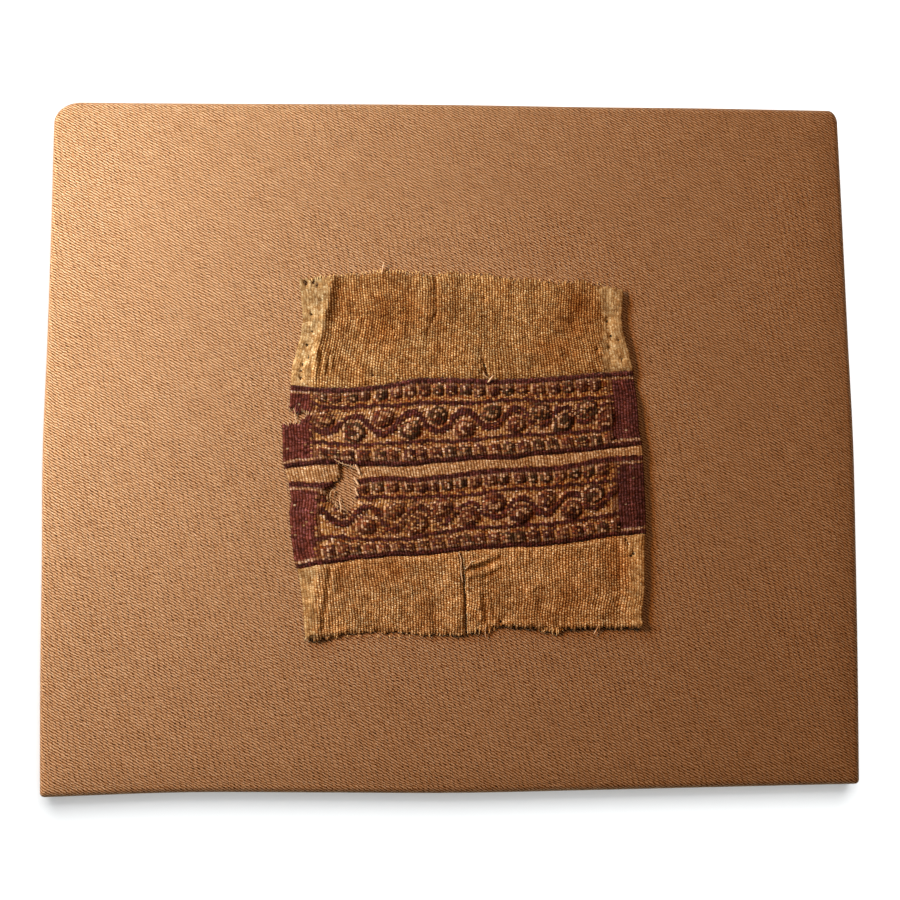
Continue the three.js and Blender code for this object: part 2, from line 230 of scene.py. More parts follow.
def along(values, share):
    """Value at a share of the way through evenly spaced values, on a smooth curve."""
    spots = np.array([2 * values[0] - values[1], *values, 2 * values[-1] - values[-2]])
    place = np.clip(share, 0, 1) * (len(values) - 1)
    k = np.minimum(place.astype(int), len(values) - 2)
    t = place - k
    a, b, c, d = (spots[k + i] for i in range(4))
    return b + 0.5 * t * (c - a + t * (2 * a - 5 * b + 4 * c - d + t * (3 * (b - c) + d - a)))


def speckle(i, j, seed, grid=(331, 337)):
    """A random number from -1 to 1 for each pair of whole numbers, over a grid that repeats."""
    return np.random.default_rng(seed).uniform(-1, 1, grid)[i % grid[0], j % grid[1]]


def patches(x, y, size, seed):
    """Smooth noise from -1 to 1 with patches about size across."""
    u, v = x / size + FAR_OFF, y / size + FAR_OFF
    i, j = np.floor(u).astype(int), np.floor(v).astype(int)
    s, t = smooth(u - i), smooth(v - j)
    corner = [speckle(i + a, j + b, seed, PATCH_GRID) for a, b in ((0, 0), (1, 0), (0, 1), (1, 1))]
    return mix(mix(corner[0], corner[1], s), mix(corner[2], corner[3], s), t)


def inside(outline, x, y):
    """Which points lie within a closed outline."""
    within = np.zeros(np.shape(x), bool)
    for (x1, y1), (x2, y2) in zip(outline, outline[1:] + outline[:1]):
        if y1 == y2:
            continue
        crosses = (y1 > y) != (y2 > y)
        within ^= crosses & (x < (x2 - x1) * (y - y1) / (y2 - y1) + x1)
    return within


def edge_at(edges, height):
    """Where a selvedge or a border's edge lies at a height."""
    rows = sorted(edges)
    return np.interp(height, [e.y for e in rows], [e.x for e in rows])


def torn_at(edges, x):
    """Height of a torn edge at x."""
    return np.interp(x, [e.x for e in edges], [e.y for e in edges])


def line_rise(lines, x, y, reach):
    """Rises of a set of lines with rounded sections, each reaching so many half widths out."""
    rise = np.zeros(np.shape(x))
    for line in lines:
        run_x, run_y = line.x2 - line.x1, line.y2 - line.y1
        t = np.clip(((x - line.x1) * run_x + (y - line.y1) * run_y) / (run_x ** 2 + run_y ** 2), 0, 1)
        away = np.hypot(x - line.x1 - t * run_x, y - line.y1 - t * run_y)
        rise += line.rise * smooth(1 - away / (reach * line.half_width))
    return rise


def lift(x, y):
    """How far the cloth stands off the lowest it can lie."""
    rise = line_rise(RIDGES, x, y, 2)
    for wave in SETTLE_WAVES:
        phase = 2 * np.pi * (x / wave.every_x + y / wave.every_y)
        rise += SETTLE * (1 + np.sin(phase)) / (2 * len(SETTLE_WAVES))
    return rise


# ---------- meshes ----------


def make_piece(name, points, faces, finish, smooth_faces=None):
    """A mesh object from points in millimetres."""
    mesh = bpy.data.meshes.new(name)
    mesh.from_pydata(np.asarray(points, float) * MM, [], faces)
    flags = np.ones(len(faces), bool) if smooth_faces is None else smooth_faces
    mesh.polygons.foreach_set("use_smooth", flags)
    mesh.materials.append(finish)
    mesh.update()
    piece = bpy.data.objects.new(name, mesh)
    bpy.context.scene.collection.objects.link(piece)
    return piece


def keep_values(piece, name, kind, values):
    """Stores one vector or colour for each point of a piece."""
    field = "vector" if kind == "FLOAT_VECTOR" else "color"
    attribute = piece.data.attributes.new(name, kind, "POINT")
    attribute.data.foreach_set(field, np.asarray(values, np.float32).ravel())


def lay_out(piece, spots):
    """A flat layout of the piece, one spot from 0 to 1 for each point."""
    layer = piece.data.uv_layers.new(name="OFBake")
    corners = np.zeros(len(piece.data.loops), np.int32)
    piece.data.loops.foreach_get("vertex_index", corners)
    layer.data.foreach_set("uv", np.asarray(spots, np.float32)[corners].ravel())


def skin_faces(rings, count, turned=False):
    """Faces of a closed skin between rings of points, with a flat face at each end. It is turned inside
    out where the rings run the other way round."""
    at = np.arange(count)
    after = (at + 1) % count
    way = -1 if turned else 1
    faces = [at[::way].tolist()]
    for k in range(rings - 1):
        here, there = k * count, (k + 1) * count
        corners = [here + at, there + at, there + after, here + after]
        faces += np.stack([corners[0], *corners[1:][::way]], 1).tolist()
    faces.append(((rings - 1) * count + at[::-way]).tolist())
    return faces


# ---------- finishes ----------


def both_ways(operation):
    """An operator of a Dial and its reflected form, which each add one Math node."""
    def plain(dial, other):
        return dial.maths(operation, dial, other)

    def reflected(dial, other):
        return dial.maths(operation, other, dial)

    return plain, reflected


class Dial:
    """One value in a finish. Arithmetic on it adds Math nodes."""

    __add__, __radd__ = both_ways("ADD")
    __sub__, __rsub__ = both_ways("SUBTRACT")
    __mul__, __rmul__ = both_ways("MULTIPLY")
    __truediv__, __rtruediv__ = both_ways("DIVIDE")
    __pow__, __rpow__ = both_ways("POWER")

    def __init__(self, finish, socket):
        self.finish = finish
        self.socket = socket

    def maths(self, operation, *values):
        return self.finish.node("ShaderNodeMath", {"operation": operation}, dict(enumerate(values)))

    def wave(self):
        """0 to 1 and back once for each whole number."""
        return self.maths("COSINE", self * (2 * np.pi)) * -0.5 + 0.5

    def held(self):
        """Kept from 0 to 1."""
        return self.finish.node("ShaderNodeClamp", {}, {"Value": self})


class Finish:
    """A material, made from its nodes."""

    def __init__(self, name, roughness, sheen=0.0):
        self.material = bpy.data.materials.new(name)
        self.material.use_nodes = True
        self.tree = self.material.node_tree
        self.shader = self.tree.nodes["Principled BSDF"]
        self.shader.inputs["Roughness"].default_value = roughness
        self.shader.inputs["Sheen Weight"].default_value = sheen
        self.shader.inputs["Sheen Roughness"].default_value = 0.5
        self.shader.inputs["Specular IOR Level"].default_value = 0.06

    def node(self, kind, settings, values, output=0):
        """Adds a node: its settings first, then its sockets. Gives one of its outputs."""
        node = self.tree.nodes.new(kind)
        for name, setting in settings.items():
            setattr(node, name, setting)
        for name, value in values.items():
            self.feed(node.inputs[name], value)
        return Dial(self, node.outputs[output])

    def feed(self, socket, value):
        if isinstance(value, Dial):
            self.tree.links.new(value.socket, socket)
        else:
            socket.default_value = value

    def stored(self, name, output):
        return self.node("ShaderNodeAttribute", {"attribute_name": name}, {}, output)

    def parts(self, vector):
        return [self.node("ShaderNodeSeparateXYZ", {}, {0: vector}, i) for i in range(2)]

    def place(self, x, y, z=0.0):
        return self.node("ShaderNodeCombineXYZ", {}, {0: x, 1: y, 2: z})

    def noise(self, vector, scale, detail=2.0):
        return self.node("ShaderNodeTexNoise", {}, {"Vector": vector, "Scale": scale, "Detail": detail})

    def deepened(self, share, green, blue):
        """A tint that turns warmer as it falls below 1 and paler above it."""
        return self.place(share, share ** green, share ** blue)

    def blend(self, share, colour_a, colour_b, how="MIX"):
        values = {0: share, 6: colour_a, 7: colour_b}
        return self.node("ShaderNodeMix", {"data_type": "RGBA", "blend_type": how}, values, 2)

    def bump(self, height, depth, strength=1.0):
        return self.node("ShaderNodeBump", {}, {"Height": height, "Distance": depth, "Strength": strength})

    def show(self, colour, normal=None, roughness=None):
        self.feed(self.shader.inputs["Base Color"], colour)
        if normal:
            self.feed(self.shader.inputs["Normal"], normal)
        if roughness:
            self.feed(self.shader.inputs["Roughness"], roughness)
        return self.material


def rgba(colour, share=1.0):
    return (*(c * share for c in colour), 1.0)


TWILL_BROWN = (0.430, 0.236, 0.105)
WALE_PITCH = 0.85                  # from one slanting wale to the next
WALE_X, WALE_Y = 0.496, 0.868      # direction across the wales
FLOAT_X, FLOAT_Y = 0.54, 0.10      # turns per millimetre of the floats that make up a wale


def twill_finish():
    """Slanting wales of short floats, in yarns that are a little uneven, with painted shade in the gaps."""
    finish = Finish("twill", 0.85, sheen=0.02)
    cloth = finish.stored("cloth", "Vector")
    x, y = finish.parts(cloth)
    drift = finish.noise(cloth, 0.09)
    wobble = finish.noise(cloth, 1.1)
    turns = (x * WALE_X + y * WALE_Y) / WALE_PITCH + drift * 1.3 + wobble * 0.75
    wale = turns.wave()
    floats = x * FLOAT_X + y * FLOAT_Y + wobble * 0.9
    twist = (turns + floats).wave()
    weft = finish.noise(finish.place(x * 0.16, y * 2.2), 1.0)
    warp = finish.noise(finish.place(x * 2.2, y * 0.12, 7.0), 1.0)
    fibre = finish.noise(cloth, 1.7)
    cloud = finish.noise(cloth, 0.02)
    # painted shade: the colour is darkest in the gaps between wales and floats; the noises are the yarns'
    # own unevenness
    shade = wale * 1.4 + twist * 0.45 + floats.wave() * 0.17 + 0.02 + (weft - 0.5) * 0.8 + (warp - 0.5) * 0.6
    shade = shade + (fibre - 0.5) * 1.2 + (cloud - 0.5) * 0.12
    tint = finish.deepened((shade * 0.4).held() * 2.4 + 0.06, 1.45, 2.0)
    colour = finish.blend(1.0, rgba(TWILL_BROWN), tint, "MULTIPLY")
    normal = finish.bump(wale * 0.7 + twist * 0.3 + (weft - 0.5) * 0.3, 0.18 * MM)
    return finish.show(colour, normal)


def thread_finish(name, sheen):
    """Dyed threads, whose colours with their painted shade are kept on the mesh, with fine fibres along
    them.
    """
    finish = Finish(name, 0.9, sheen)
    spot = finish.node("ShaderNodeTexCoord", {}, {}, "Object")
    x, y = finish.parts(spot)
    fibre = finish.noise(finish.place(x * 2600.0, y * 1900.0), 1.0, 3.0)
    mottle = finish.noise(spot, 420.0, 3.0)
    dye = finish.stored("dye", "Color")
    share = fibre * 1.6 + mottle * 0.5 - 0.05
    colour = finish.blend(1.0, dye, finish.deepened(share, 1.40, 2.0), "MULTIPLY")
    normal = finish.bump(fibre, 0.06 * MM, 0.7)
    return finish.show(colour, normal)


def board_finish():
    """Pressed wood fibre: pale flecks and short dark fibres in a plain brown."""
    finish = Finish("fibre board", 0.8)
    spot = finish.node("ShaderNodeTexCoord", {}, {}, "Object")
    x, y = finish.parts(spot)
    grain = finish.noise(finish.place(x * 900.0, y * 2200.0), 1.0, 4.0)
    fleck = finish.noise(spot, 650.0, 5.0)
    cloud = finish.noise(spot, 40.0)
    share = (grain * 0.5 + fleck * 0.7 + cloud * 0.3 - 0.3).held()
    colour = finish.blend(share, (0.23, 0.14, 0.075, 1), (0.56, 0.41, 0.26, 1))
    return finish.show(colour, finish.bump(fleck, 0.15 * MM, 0.6))


def floor_finish():
    finish = Finish("floor", 0.6)
    return finish.show((0.9, 0.9, 0.9, 1))


# ---------- the twill cover ----------


def corner_arc(corner, inset, least):
    """Points and outward directions round one corner of the covered board."""
    radius_x = max(corner.radius_x - inset, least)
    radius_y = max(corner.radius_y - inset, least)
    sign_x, sign_y = np.sign(corner.x), np.sign(corner.y)
    middle = np.arctan2(sign_y, sign_x)
    angle = middle + np.pi / 4 - (np.pi / 2) * np.arange(CORNER_STEPS + 1) / CORNER_STEPS
    x = corner.x - sign_x * (radius_x + inset) + radius_x * np.cos(angle)
    y = corner.y - sign_y * (radius_y + inset) + radius_y * np.sin(angle)
    return np.stack([x, y], 1), np.stack([np.cos(angle), np.sin(angle)], 1)


def outline(inset, least=SHARPEST_CORNER):
    """The covered board's outline taken in by inset, with the outward direction at each point."""
    points, outwards = [], []
    for corner, after, side in zip(CORNERS, CORNERS[1:] + CORNERS[:1], SIDES):
        arc, arc_out = corner_arc(corner, inset, least)
        start, end = arc[-1], corner_arc(after, inset, least)[0][0]
        out = np.array([start[1] - end[1], end[0] - start[0]]) / np.hypot(*(end - start))
        share = np.arange(1, side.steps) / side.steps
        bulge = along((0, *side.bulges, 0), share)
        points += [arc, start + np.outer(share, end - start) + np.outer(bulge, out)]
        outwards += [arc_out, np.repeat(out[None], side.steps - 1, 0)]
    return np.concatenate(points)[::-1], np.concatenate(outwards)[::-1]


Ring = namedtuple("Ring", "inset z reach")


def edge_rings(taken):
    """Rings over the front edge, down the side and round onto the back."""
    top = FACE_LEVEL - taken
    fall, lean = (0.0, 0.0) if taken else (EDGE_FALL, EDGE_LEAN)
    front, back = FACE_ROUND - taken, BACK_ROUND - taken
    rings = []
    for turn in np.linspace(lean, np.pi / 2, BEND_STEPS):
        inset = FACE_ROUND - front * (np.sin(turn) - np.sin(lean)) / (1 - np.sin(lean))
        down = fall + (front - fall) * (np.cos(lean) - np.cos(turn)) / np.cos(lean)
        rings.append(Ring(inset, top - down, FACE_ROUND * (turn - 1)))
    side = FACE_ROUND * (np.pi / 2 - 1)
    for share in SIDE_SHARES:
        rings.append(Ring(taken, mix(top - front, taken + back, share), side + SIDE_RUN * share))
    for turn in np.linspace(0, np.pi / 2, BEND_STEPS):
        rings.append(Ring(BACK_ROUND - back * np.cos(turn), taken + back * (1 - np.sin(turn)),
                          side + SIDE_RUN + BACK_ROUND * turn))
    return rings


def face_rings():
    """Rings of the face, from the middle out to its bend."""
    near_edge = FACE_ROUND + EDGE_REACH
    insets = np.linspace(DEEPEST_RING, near_edge, int(DEEPEST_RING / FACE_RING) + 1)[:-1]
    insets = np.append(insets, np.linspace(near_edge, FACE_ROUND, EDGE_STEPS + 1)[:-1])
    falls = EDGE_FALL * np.clip((near_edge - insets) / EDGE_REACH, 0, 1) ** 2
    return [Ring(inset, FACE_LEVEL - fall, -inset) for inset, fall in zip(insets, falls)]


def margin_rings(last):
    """Rings of the turned-in margin, out to its cut edge."""
    insets = np.linspace(BACK_ROUND, TURN_IN, MARGIN_STEPS + 1)[1:]
    return [Ring(inset, 0.0, last.reach + inset - BACK_ROUND) for inset in insets]


def make_cover():
    """The twill, stretched over the board and turned in on its back."""
    face, edge = face_rings(), edge_rings(0)
    outside = face + edge + margin_rings(edge[-1])
    inside_skin = [Ring(TURN_IN, TWILL_THICKNESS, 0)]
    inside_skin += [Ring(r.inset, r.z, 0) for r in reversed(edge_rings(TWILL_THICKNESS))]
    inside_skin += [Ring(i, FACE_LEVEL - TWILL_THICKNESS, 0) for i in INNER_RINGS]
    rings = outside + inside_skin
    points, cloth, spots = [], [], []
    for k, ring in enumerate(rings):
        on_back = ring.z < 0.5 * FACE_LEVEL and ring.inset > BACK_ROUND
        flat, out = outline(ring.inset, BACK_CORNER if on_back else SHARPEST_CORNER)
        rise = np.full(len(flat), ring.z)
        if k <= len(face):
            rise = rise - FACE_SAG * (0.5 + 0.5 * patches(flat[:, 0], flat[:, 1], SAG_SPAN, 5))
        points.append(np.column_stack([flat, rise]))
        unrolled = flat + out * (ring.reach + ring.inset)
        cloth.append(np.column_stack([unrolled, np.zeros(len(flat))]))
        spot = 0.5 + unrolled / LAYOUT_SPAN
        spots.append(spot if k < len(outside) else INNER_AT + INNER_SPAN * spot)
    faces = skin_faces(len(rings), len(points[0]))
    cover = make_piece("twill_cover", np.concatenate(points), faces, twill_finish())
    keep_values(cover, "cloth", "FLOAT_VECTOR", np.concatenate(cloth))
    lay_out(cover, np.concatenate(spots))
    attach(cover, "root")
    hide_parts("mount_cover")
    return cover


# ---------- the woven fragment ----------

RIB_COLUMNS = 4                    # cells across one rib
CROWN_SHAPE = (0.0, 0.72, 1.0, 0.72)
UNDER_GAP = 0.12                   # under the cloth, where it lies lowest
BODY = 0.65                        # thickness of the cloth below its ribs
LINE_WIDE = 1.9                    # the dark lines that edge a band
LINE_FINE = 1.4                    # the lines between pearls and vine
FRAY_CELLS = 4                     # how many cells in from an edge the cloth is thinner
SELVEDGE_SHARE = 0.80              # share of its thickness at a selvedge
TORN_SHARE = 0.40                  # and at a torn edge
LEAST_THICKNESS = 0.15
BACK_BLOCK = 8                     # cells across one coarse face of the underside
TOP_SPAN = 0.96                    # how much of a strip's layout its top takes up
BACK_AT, BACK_SPAN = 0.965, 0.03   # and where its underside lies in it, and how wide
STRAY = 0.9                        # how many cells off its place a bead's colour may be taken
UNEVEN_X, UNEVEN_Y = 0.12, 0.14    # how far a bead strays from its place in the weave

# A strip's ribs run down it, side by side. bead is the length of one bead of weft along a rib, dip is how
# high a rib stands between two beads, and slip is how far the ribs lie out of step. mottle is how uneven
# the beads are in colour, felted how matted the borders are, and flat the width and length in metres.
Zone = namedtuple("Zone", "kind upper lower upper_step lower_step")
Strip = namedtuple("Strip", "name ribs bead slip rib_height dip mottle felted zones flat seed")
HALF_LINE = LINE_WIDE / 2
STRIPS = [
    Strip("upper_field", 120, 0.84, 0.36, 0.56, 0.18, 0.30, 0.80, [
        Zone("plain", "head", "first top", 0, HALF_LINE)], (0.121, 0.040), 11),
    Strip("first_band", 122, 0.46, 0.14, 0.36, 0.45, 0.38, 0, [
        Zone("pearls", "first top", "first upper", HALF_LINE, 0),
        Zone("vine", "first upper", "first lower", 0, 0),
        Zone("pearls below", "first lower", "first foot", 0, -HALF_LINE)], (0.127, 0.029), 12),
    Strip("second_band", 122, 0.48, 0.14, 0.36, 0.45, 0.38, 0, [
        Zone("ribs", "first foot", "second top", -HALF_LINE, HALF_LINE),
        Zone("pearls", "second top", "second upper", HALF_LINE, 0),
        Zone("vine", "second upper", "second lower", 0, 0),
        Zone("pearls below", "second lower", "second foot", 0, -HALF_LINE)], (0.126, 0.036), 13),
    Strip("lower_field", 122, 0.84, 0.36, 0.58, 0.18, 0.30, 0.50, [
        Zone("plain", "second foot", "tail", -HALF_LINE, 0)], (0.121, 0.033), 14),
]


class Weave:
    """The grid of one strip: where each of its points is, which rib and bead it belongs to."""

    def __init__(self, strip):
        self.strip = strip
        share = np.arange(strip.ribs * RIB_COLUMNS + 1) / (strip.ribs * RIB_COLUMNS)
        rows = [row for z in range(len(strip.zones)) for row in self.zone_rows(z, share)]
        self.x, self.y, self.above, self.below, self.zone = (np.array(part) for part in zip(*rows))
        self.number_beads()

    def zone_rows(self, z, share):
        """Rows of one zone: where they lie, how far they are from its upper and its lower edge, and
        its number."""
        part = self.strip.zones[z]
        upper = along(THREADS[part.upper], share) + part.upper_step
        lower = along(THREADS[part.lower], share) + part.lower_step
        beads = max(2, round(float(np.mean(upper - lower)) / self.strip.bead))
        last = z + 1 == len(self.strip.zones)
        for r in range(2 * beads + (1 if last else 0)):
            down = r / (2 * beads)
            y = mix(upper, lower, down)
            x = mix(edge_at(LEFT_SELVEDGE, y[0]), edge_at(RIGHT_SELVEDGE, y[-1]), share)
            yield x, y, (upper - lower) * down, (upper - lower) * (1 - down), z

    def number_beads(self):
        """Which rib and bead each point belongs to, how high it stands in them, and which point is in
        the middle of its bead."""
        rows, columns = self.x.shape
        row, self.column = np.mgrid[0:rows, 0:columns]
        self.rib = np.minimum(self.column // RIB_COLUMNS, self.strip.ribs - 1)
        self.bead = (row + self.rib % 2) // 2
        crest = (row + self.rib) % 2 == 0
        self.crown = np.array(CROWN_SHAPE)[self.column % RIB_COLUMNS] * np.where(crest, 1.0, self.strip.dip)
        self.middle_row = np.clip(2 * self.bead - self.rib % 2, 0, rows - 1)
        self.middle_column = self.rib * RIB_COLUMNS + RIB_COLUMNS // 2
        stray_row, stray_column = (np.rint(STRAY * self.chance(seed)).astype(int) for seed in (20, 21))
        self.loose_row = np.clip(self.middle_row + stray_row, 0, rows - 1)
        self.loose_column = np.clip(self.middle_column + stray_column, 0, columns - 1)

    def level(self, thread):
        """Heights of a cross thread over the grid's columns."""
        return along(THREADS[thread], np.linspace(0, 1, self.x.shape[1]))[None]

    def chance(self, seed):
        """A random number from -1 to 1 for each bead."""
        return speckle(self.rib, self.bead, self.strip.seed + seed)

    def some(self, seed, share):
        """Which beads take what only this share of them has."""
        return self.chance(seed) < 2 * share - 1

    def next_to(self, marked, ribs, beads):
        """Beads that lie so many ribs to the right of marked ones and so many beads below them."""
        return self.at_middle(np.roll(marked, (2 * beads, ribs * RIB_COLUMNS), (0, 1))) & ~marked

    def mingled(self, seed, yarns):
        """Colours of beads that mix a few yarns in their shares."""
        pick = 0.5 + 0.5 * self.chance(seed)
        colour = np.zeros((*pick.shape, 3)) + yarns[-1].colour
        ends = np.cumsum([yarn.share for yarn in yarns])
        for yarn, end in zip(yarns[-2::-1], ends[-2::-1]):
            colour = np.where((pick < end)[..., None], yarn.colour, colour)
        return colour

    def at_middle(self, values):
        """Values taken from the middle of each point's bead."""
        return values[self.middle_row, self.middle_column]

    def at_loose(self, values):
        """Values taken a little off the middle of each bead, as colours change places by eye."""
        return values[self.loose_row, self.loose_column]


def wander(x, y):
    """Small shifts that keep the threads from lying dead straight."""
    shift_x = 0.35 * patches(x, y, 9.0, 21) + 0.12 * patches(x, y, 2.6, 22)
    shift_y = 0.30 * patches(x, y, 7.0, 23) + 0.12 * patches(x, y, 2.2, 24)
    return shift_x, shift_y


# ---------- colours of the fragment ----------


def wool(red, green, blue):
    return np.array((red, green, blue))


FIELD = wool(0.880, 0.615, 0.262)
LOWER_FIELD = wool(1.00, 0.705, 0.325)
BORDER = wool(0.585, 0.408, 0.184)
STAIN = wool(0.64, 0.30, 0.068)
BLOCK = wool(0.215, 0.063, 0.055)
DARK_LINE = wool(0.125, 0.043, 0.035)
PEARL_BROWN = wool(0.205, 0.084, 0.040)
PEARL_OLIVE = wool(0.125, 0.076, 0.036)
STEM = wool(0.110, 0.038, 0.030)
GOLD = wool(0.74, 0.45, 0.170)
RUST = wool(0.32, 0.100, 0.036)
ORANGE = wool(0.62, 0.22, 0.045)
RED = wool(0.28, 0.045, 0.028)
PALE = wool(0.92, 0.67, 0.420)
OCHRE = wool(0.80, 0.55, 0.285)
WORN_BROWN = wool(0.20, 0.090, 0.040)
GAP_SHADE = 0.25                   # share of each thread's colour kept deep between the ribs: painted shade
FIELD_GAP_SHADE = 0.20             # and in the plain cloth
PAINTED_UNDER_SHADE = 0.5                  # share of the top's colour that the underside has: painted shade, which also darkens the walls towards it

Patch = namedtuple("Patch", "x y reach_x reach_y strength")
STAINS = [Patch(*row) for row in (
    (-26, 47, 19, 15, 0.85), (-14, 30, 12, 8, 0.45), (46, 46, 8, 10, 0.85), (34, 32, 12, 5, 0.5),
    (-36, 26, 8, 6, 0.4), (-30, -46, 14, 5, 0.9), (40, -60, 16, 8, 0.45), (56, -42, 8, 12, 0.6),
    (-8, -60, 10, 6, 0.35), (54, 30, 6, 12, 0.5),
)]

# Where the plain cloth is brighter, or duller where the strength is below 0.
TONES = [Patch(*row) for row in (
    (-54, 29, 6, 12, 0.22), (-52, -56, 7, 18, 0.10), (67, -52, 7, 22, 0.42), (-4, 47, 14, 14, -0.12),
    (60, 38, 5, 16, 0.06),
)]

# Where a band's pattern is rubbed and muddled.
WORN = [Patch(*row) for row in (
    (-16, -28, 16, 9, 0.75), (-2, -30, 9, 9, 0.6), (-44, 10, 7, 5, 0.7), (28, 12, 7, 6, 0.45),
    (-38, -36, 8, 4, 0.5), (46, -33, 8, 4, 0.35), (8, 6, 6, 4, 0.35), (-43, 16, 8, 4, 0.6),
)]


def strengths(places, x, y):
    """How strong each of a set of soft round patches is at each point."""
    return [p.strength * smooth(1.25 - 0.75 * np.hypot((x - p.x) / p.reach_x, (y - p.y) / p.reach_y))
            for p in places]


def patch_share(places, x, y):
    """The strongest of a set of patches at each point."""
    return np.max(strengths(places, x, y), 0)


def tone(x, y):
    """How much brighter the plain cloth is than elsewhere."""
    return sum(strengths(TONES, x, y), 1.0)


# Inner edges of the two pale borders.
LEFT_BORDER = [Edge(60, -41.4), Edge(40, -45.0), Edge(20, -49.8), Edge(-44, -46.5), Edge(-68, -48.0)]
RIGHT_BORDER = [Edge(55, 51.6), Edge(24, 52.6), Edge(-34, 60.4), Edge(-68, 60.6)]


def border_share(x, y):
    """How far a point is in one of the pale borders, from 0 to 1."""
    inner_left, inner_right = edge_at(LEFT_BORDER, y), edge_at(RIGHT_BORDER, y)
    ragged = 0.9 * patches(x, y, 5.0, 31) + 0.5 * patches(x, y, 1.5, 38)
    return np.maximum(smooth((inner_left - x + ragged) / 2.6), smooth((x - inner_right + ragged) / 3.0))


def plain_colours(x, y, field):
    """The plain cloth: a stained field between paler borders."""
    edge = border_share(x, y)[..., None]
    stained = patch_share(STAINS, x, y)
    stained = stained * (0.75 + 0.45 * patches(x, 0.4 * y, 5.0, 32)) + 0.22 * patches(x, y, 11.0, 33)
    colour = mix(field, STAIN, np.clip(stained, 0, 1)[..., None])
    colour = mix(colour, BORDER, edge)
    cloud = 1 + 0.10 * patches(x, y, 14.0, 34) + 0.10 * patches(x, y, 4.0, 35)
    cloud = cloud + 0.26 * patches(x, y, 1.7, 37)
    return colour * (cloud * tone(x, y))[..., None]


# ---------- the pattern of the bands ----------

# left and right are where the end blocks meet the pattern, and the tones are how their purple differs.
# The stem's first bend is at first_bend, its wave is bend_pitch long, and closing draws it in to the right.
PearlRow = namedtuple("PearlRow", "first last count")
Band = namedtuple("Band", [
    "left", "right", "left_tone", "right_tone", "first_bend", "bend_pitch", "closing", "pearls",
    "pearls_below"])
BANDS = {
    "first_band": Band(-50.4, 57.0, (1.05, 1.08, 0.96), (1.00, 1.14, 1.17), -35.2, 20.2, 0.53,
                       PearlRow(-46.6, 50.6, 20), PearlRow(-45.3, 54.6, 21)),
    "second_band": Band(-48.8, 58.6, (1.30, 1.40, 1.27), (0.85, 0.99, 1.02), -30.7, 18.2, 0.06,
                        PearlRow(-48.6, 52.4, 21), PearlRow(-47.6, 57.0, 22)),
}
PEARL_CORNER = 2.4                 # how square a pearl is
PEARL_HALVES = (2.15, 2.40)        # least and most half width of a pearl
PEARL_RISE = 0.75
STEM_HALF = 1.2                    # half the stem's width
STEM_RISE = 0.5
HIGH_RADII = (3.5, 4.2)            # least and most radius of a roundel over the stem
LOW_RADII = (3.6, 4.3)             # and of one under it
ROUNDEL_RISE = 0.95
MOST_RELIEF = 1.1
SHADED, LIT = 0.6, 1.2             # shares of a boss's brown on its dark and its bright side: painted shade and painted light

Yarn = namedtuple("Yarn", "colour share")
GROUND_YARNS = [Yarn(GOLD, 0.55), Yarn(PALE, 0.07), Yarn(RUST, 0.24), Yarn(ORANGE, 0.06), Yarn(STEM, 0.08)]
VINE_GROUND_YARNS = [Yarn(GOLD, 0.52), Yarn(PALE, 0.20), Yarn(OCHRE, 0.12), Yarn(RUST, 0.16)]
PEARL_YARNS = [Yarn(PEARL_BROWN, 0.48), Yarn(STEM, 0.38), Yarn(RUST, 0.14)]
OLIVE_YARNS = [Yarn(PEARL_OLIVE, 0.66), Yarn(STEM, 0.28), Yarn(RUST, 0.06)]
STEM_YARNS = [Yarn(STEM, 0.62), Yarn(BLOCK, 0.22), Yarn(STEM * 0.5, 0.10), Yarn(RUST, 0.06)]
LINE_YARNS = [Yarn(DARK_LINE, 0.60), Yarn(BLOCK, 0.22), Yarn(DARK_LINE * 0.5, 0.18)]
BLOCK_YARNS = [Yarn(BLOCK, 0.60), Yarn(BLOCK * 0.55, 0.24), Yarn(BLOCK * 1.35, 0.15), Yarn(PALE * 0.6, 0.01)]
MUDDLED_YARNS = [Yarn(WORN_BROWN, 0.34), Yarn(RUST, 0.22), Yarn(GOLD, 0.20), Yarn(STEM, 0.14),
                 Yarn(PEARL_OLIVE, 0.10)]


def colour_over(colour, new, share):
    return mix(colour, new, np.clip(share, 0, 1)[..., None])


def soft_band(distance, half_width, blur=0.25):
    """1 within half_width of a line, falling off to 0."""
    return smooth((half_width - np.abs(distance)) / blur + 0.5)


def puff(q):
    """Rise of a round boss, from 1 at its middle to 0 at its edge."""
    return np.sqrt(np.clip(1 - q ** 2, 0, 1))


def square_reach(dx, down):
    """How far a point is from the middle of a square with round corners, 1 at its edge."""
    return (np.abs(dx) ** PEARL_CORNER + np.abs(down) ** PEARL_CORNER) ** (1 / PEARL_CORNER)


def lit_side(dx, down):
    """1 on the upper left of a boss, 0 on its lower right: where painted light and painted shade fall."""
    return 0.5 - 0.5 * (0.8 * dx + 0.6 * down) / (np.hypot(dx, down) + 1e-6)


def draw_boss(weave, colour, brown, body, edged, shaded_side, shaded):
    """A brown boss, pale beads to its left and above it, and rusty ones where it is shaded: painted light
    and shade.
    """
    colour = colour_over(colour, brown, body)
    outline_and_highlight = weave.next_to(body, -1, 0) | weave.next_to(body, 0, -1) | weave.next_to(body, 0, -2)
    # pale beads on the upper left only: the pattern's outline, kept to the lit side as a painted highlight
    colour = colour_over(colour, PALE, 0.9 * (outline_and_highlight & weave.some(23, edged)))
    # rusty beads on the shaded side: painted shade
    return colour_over(colour, RUST, 0.8 * (shaded_side & weave.some(34, shaded)))


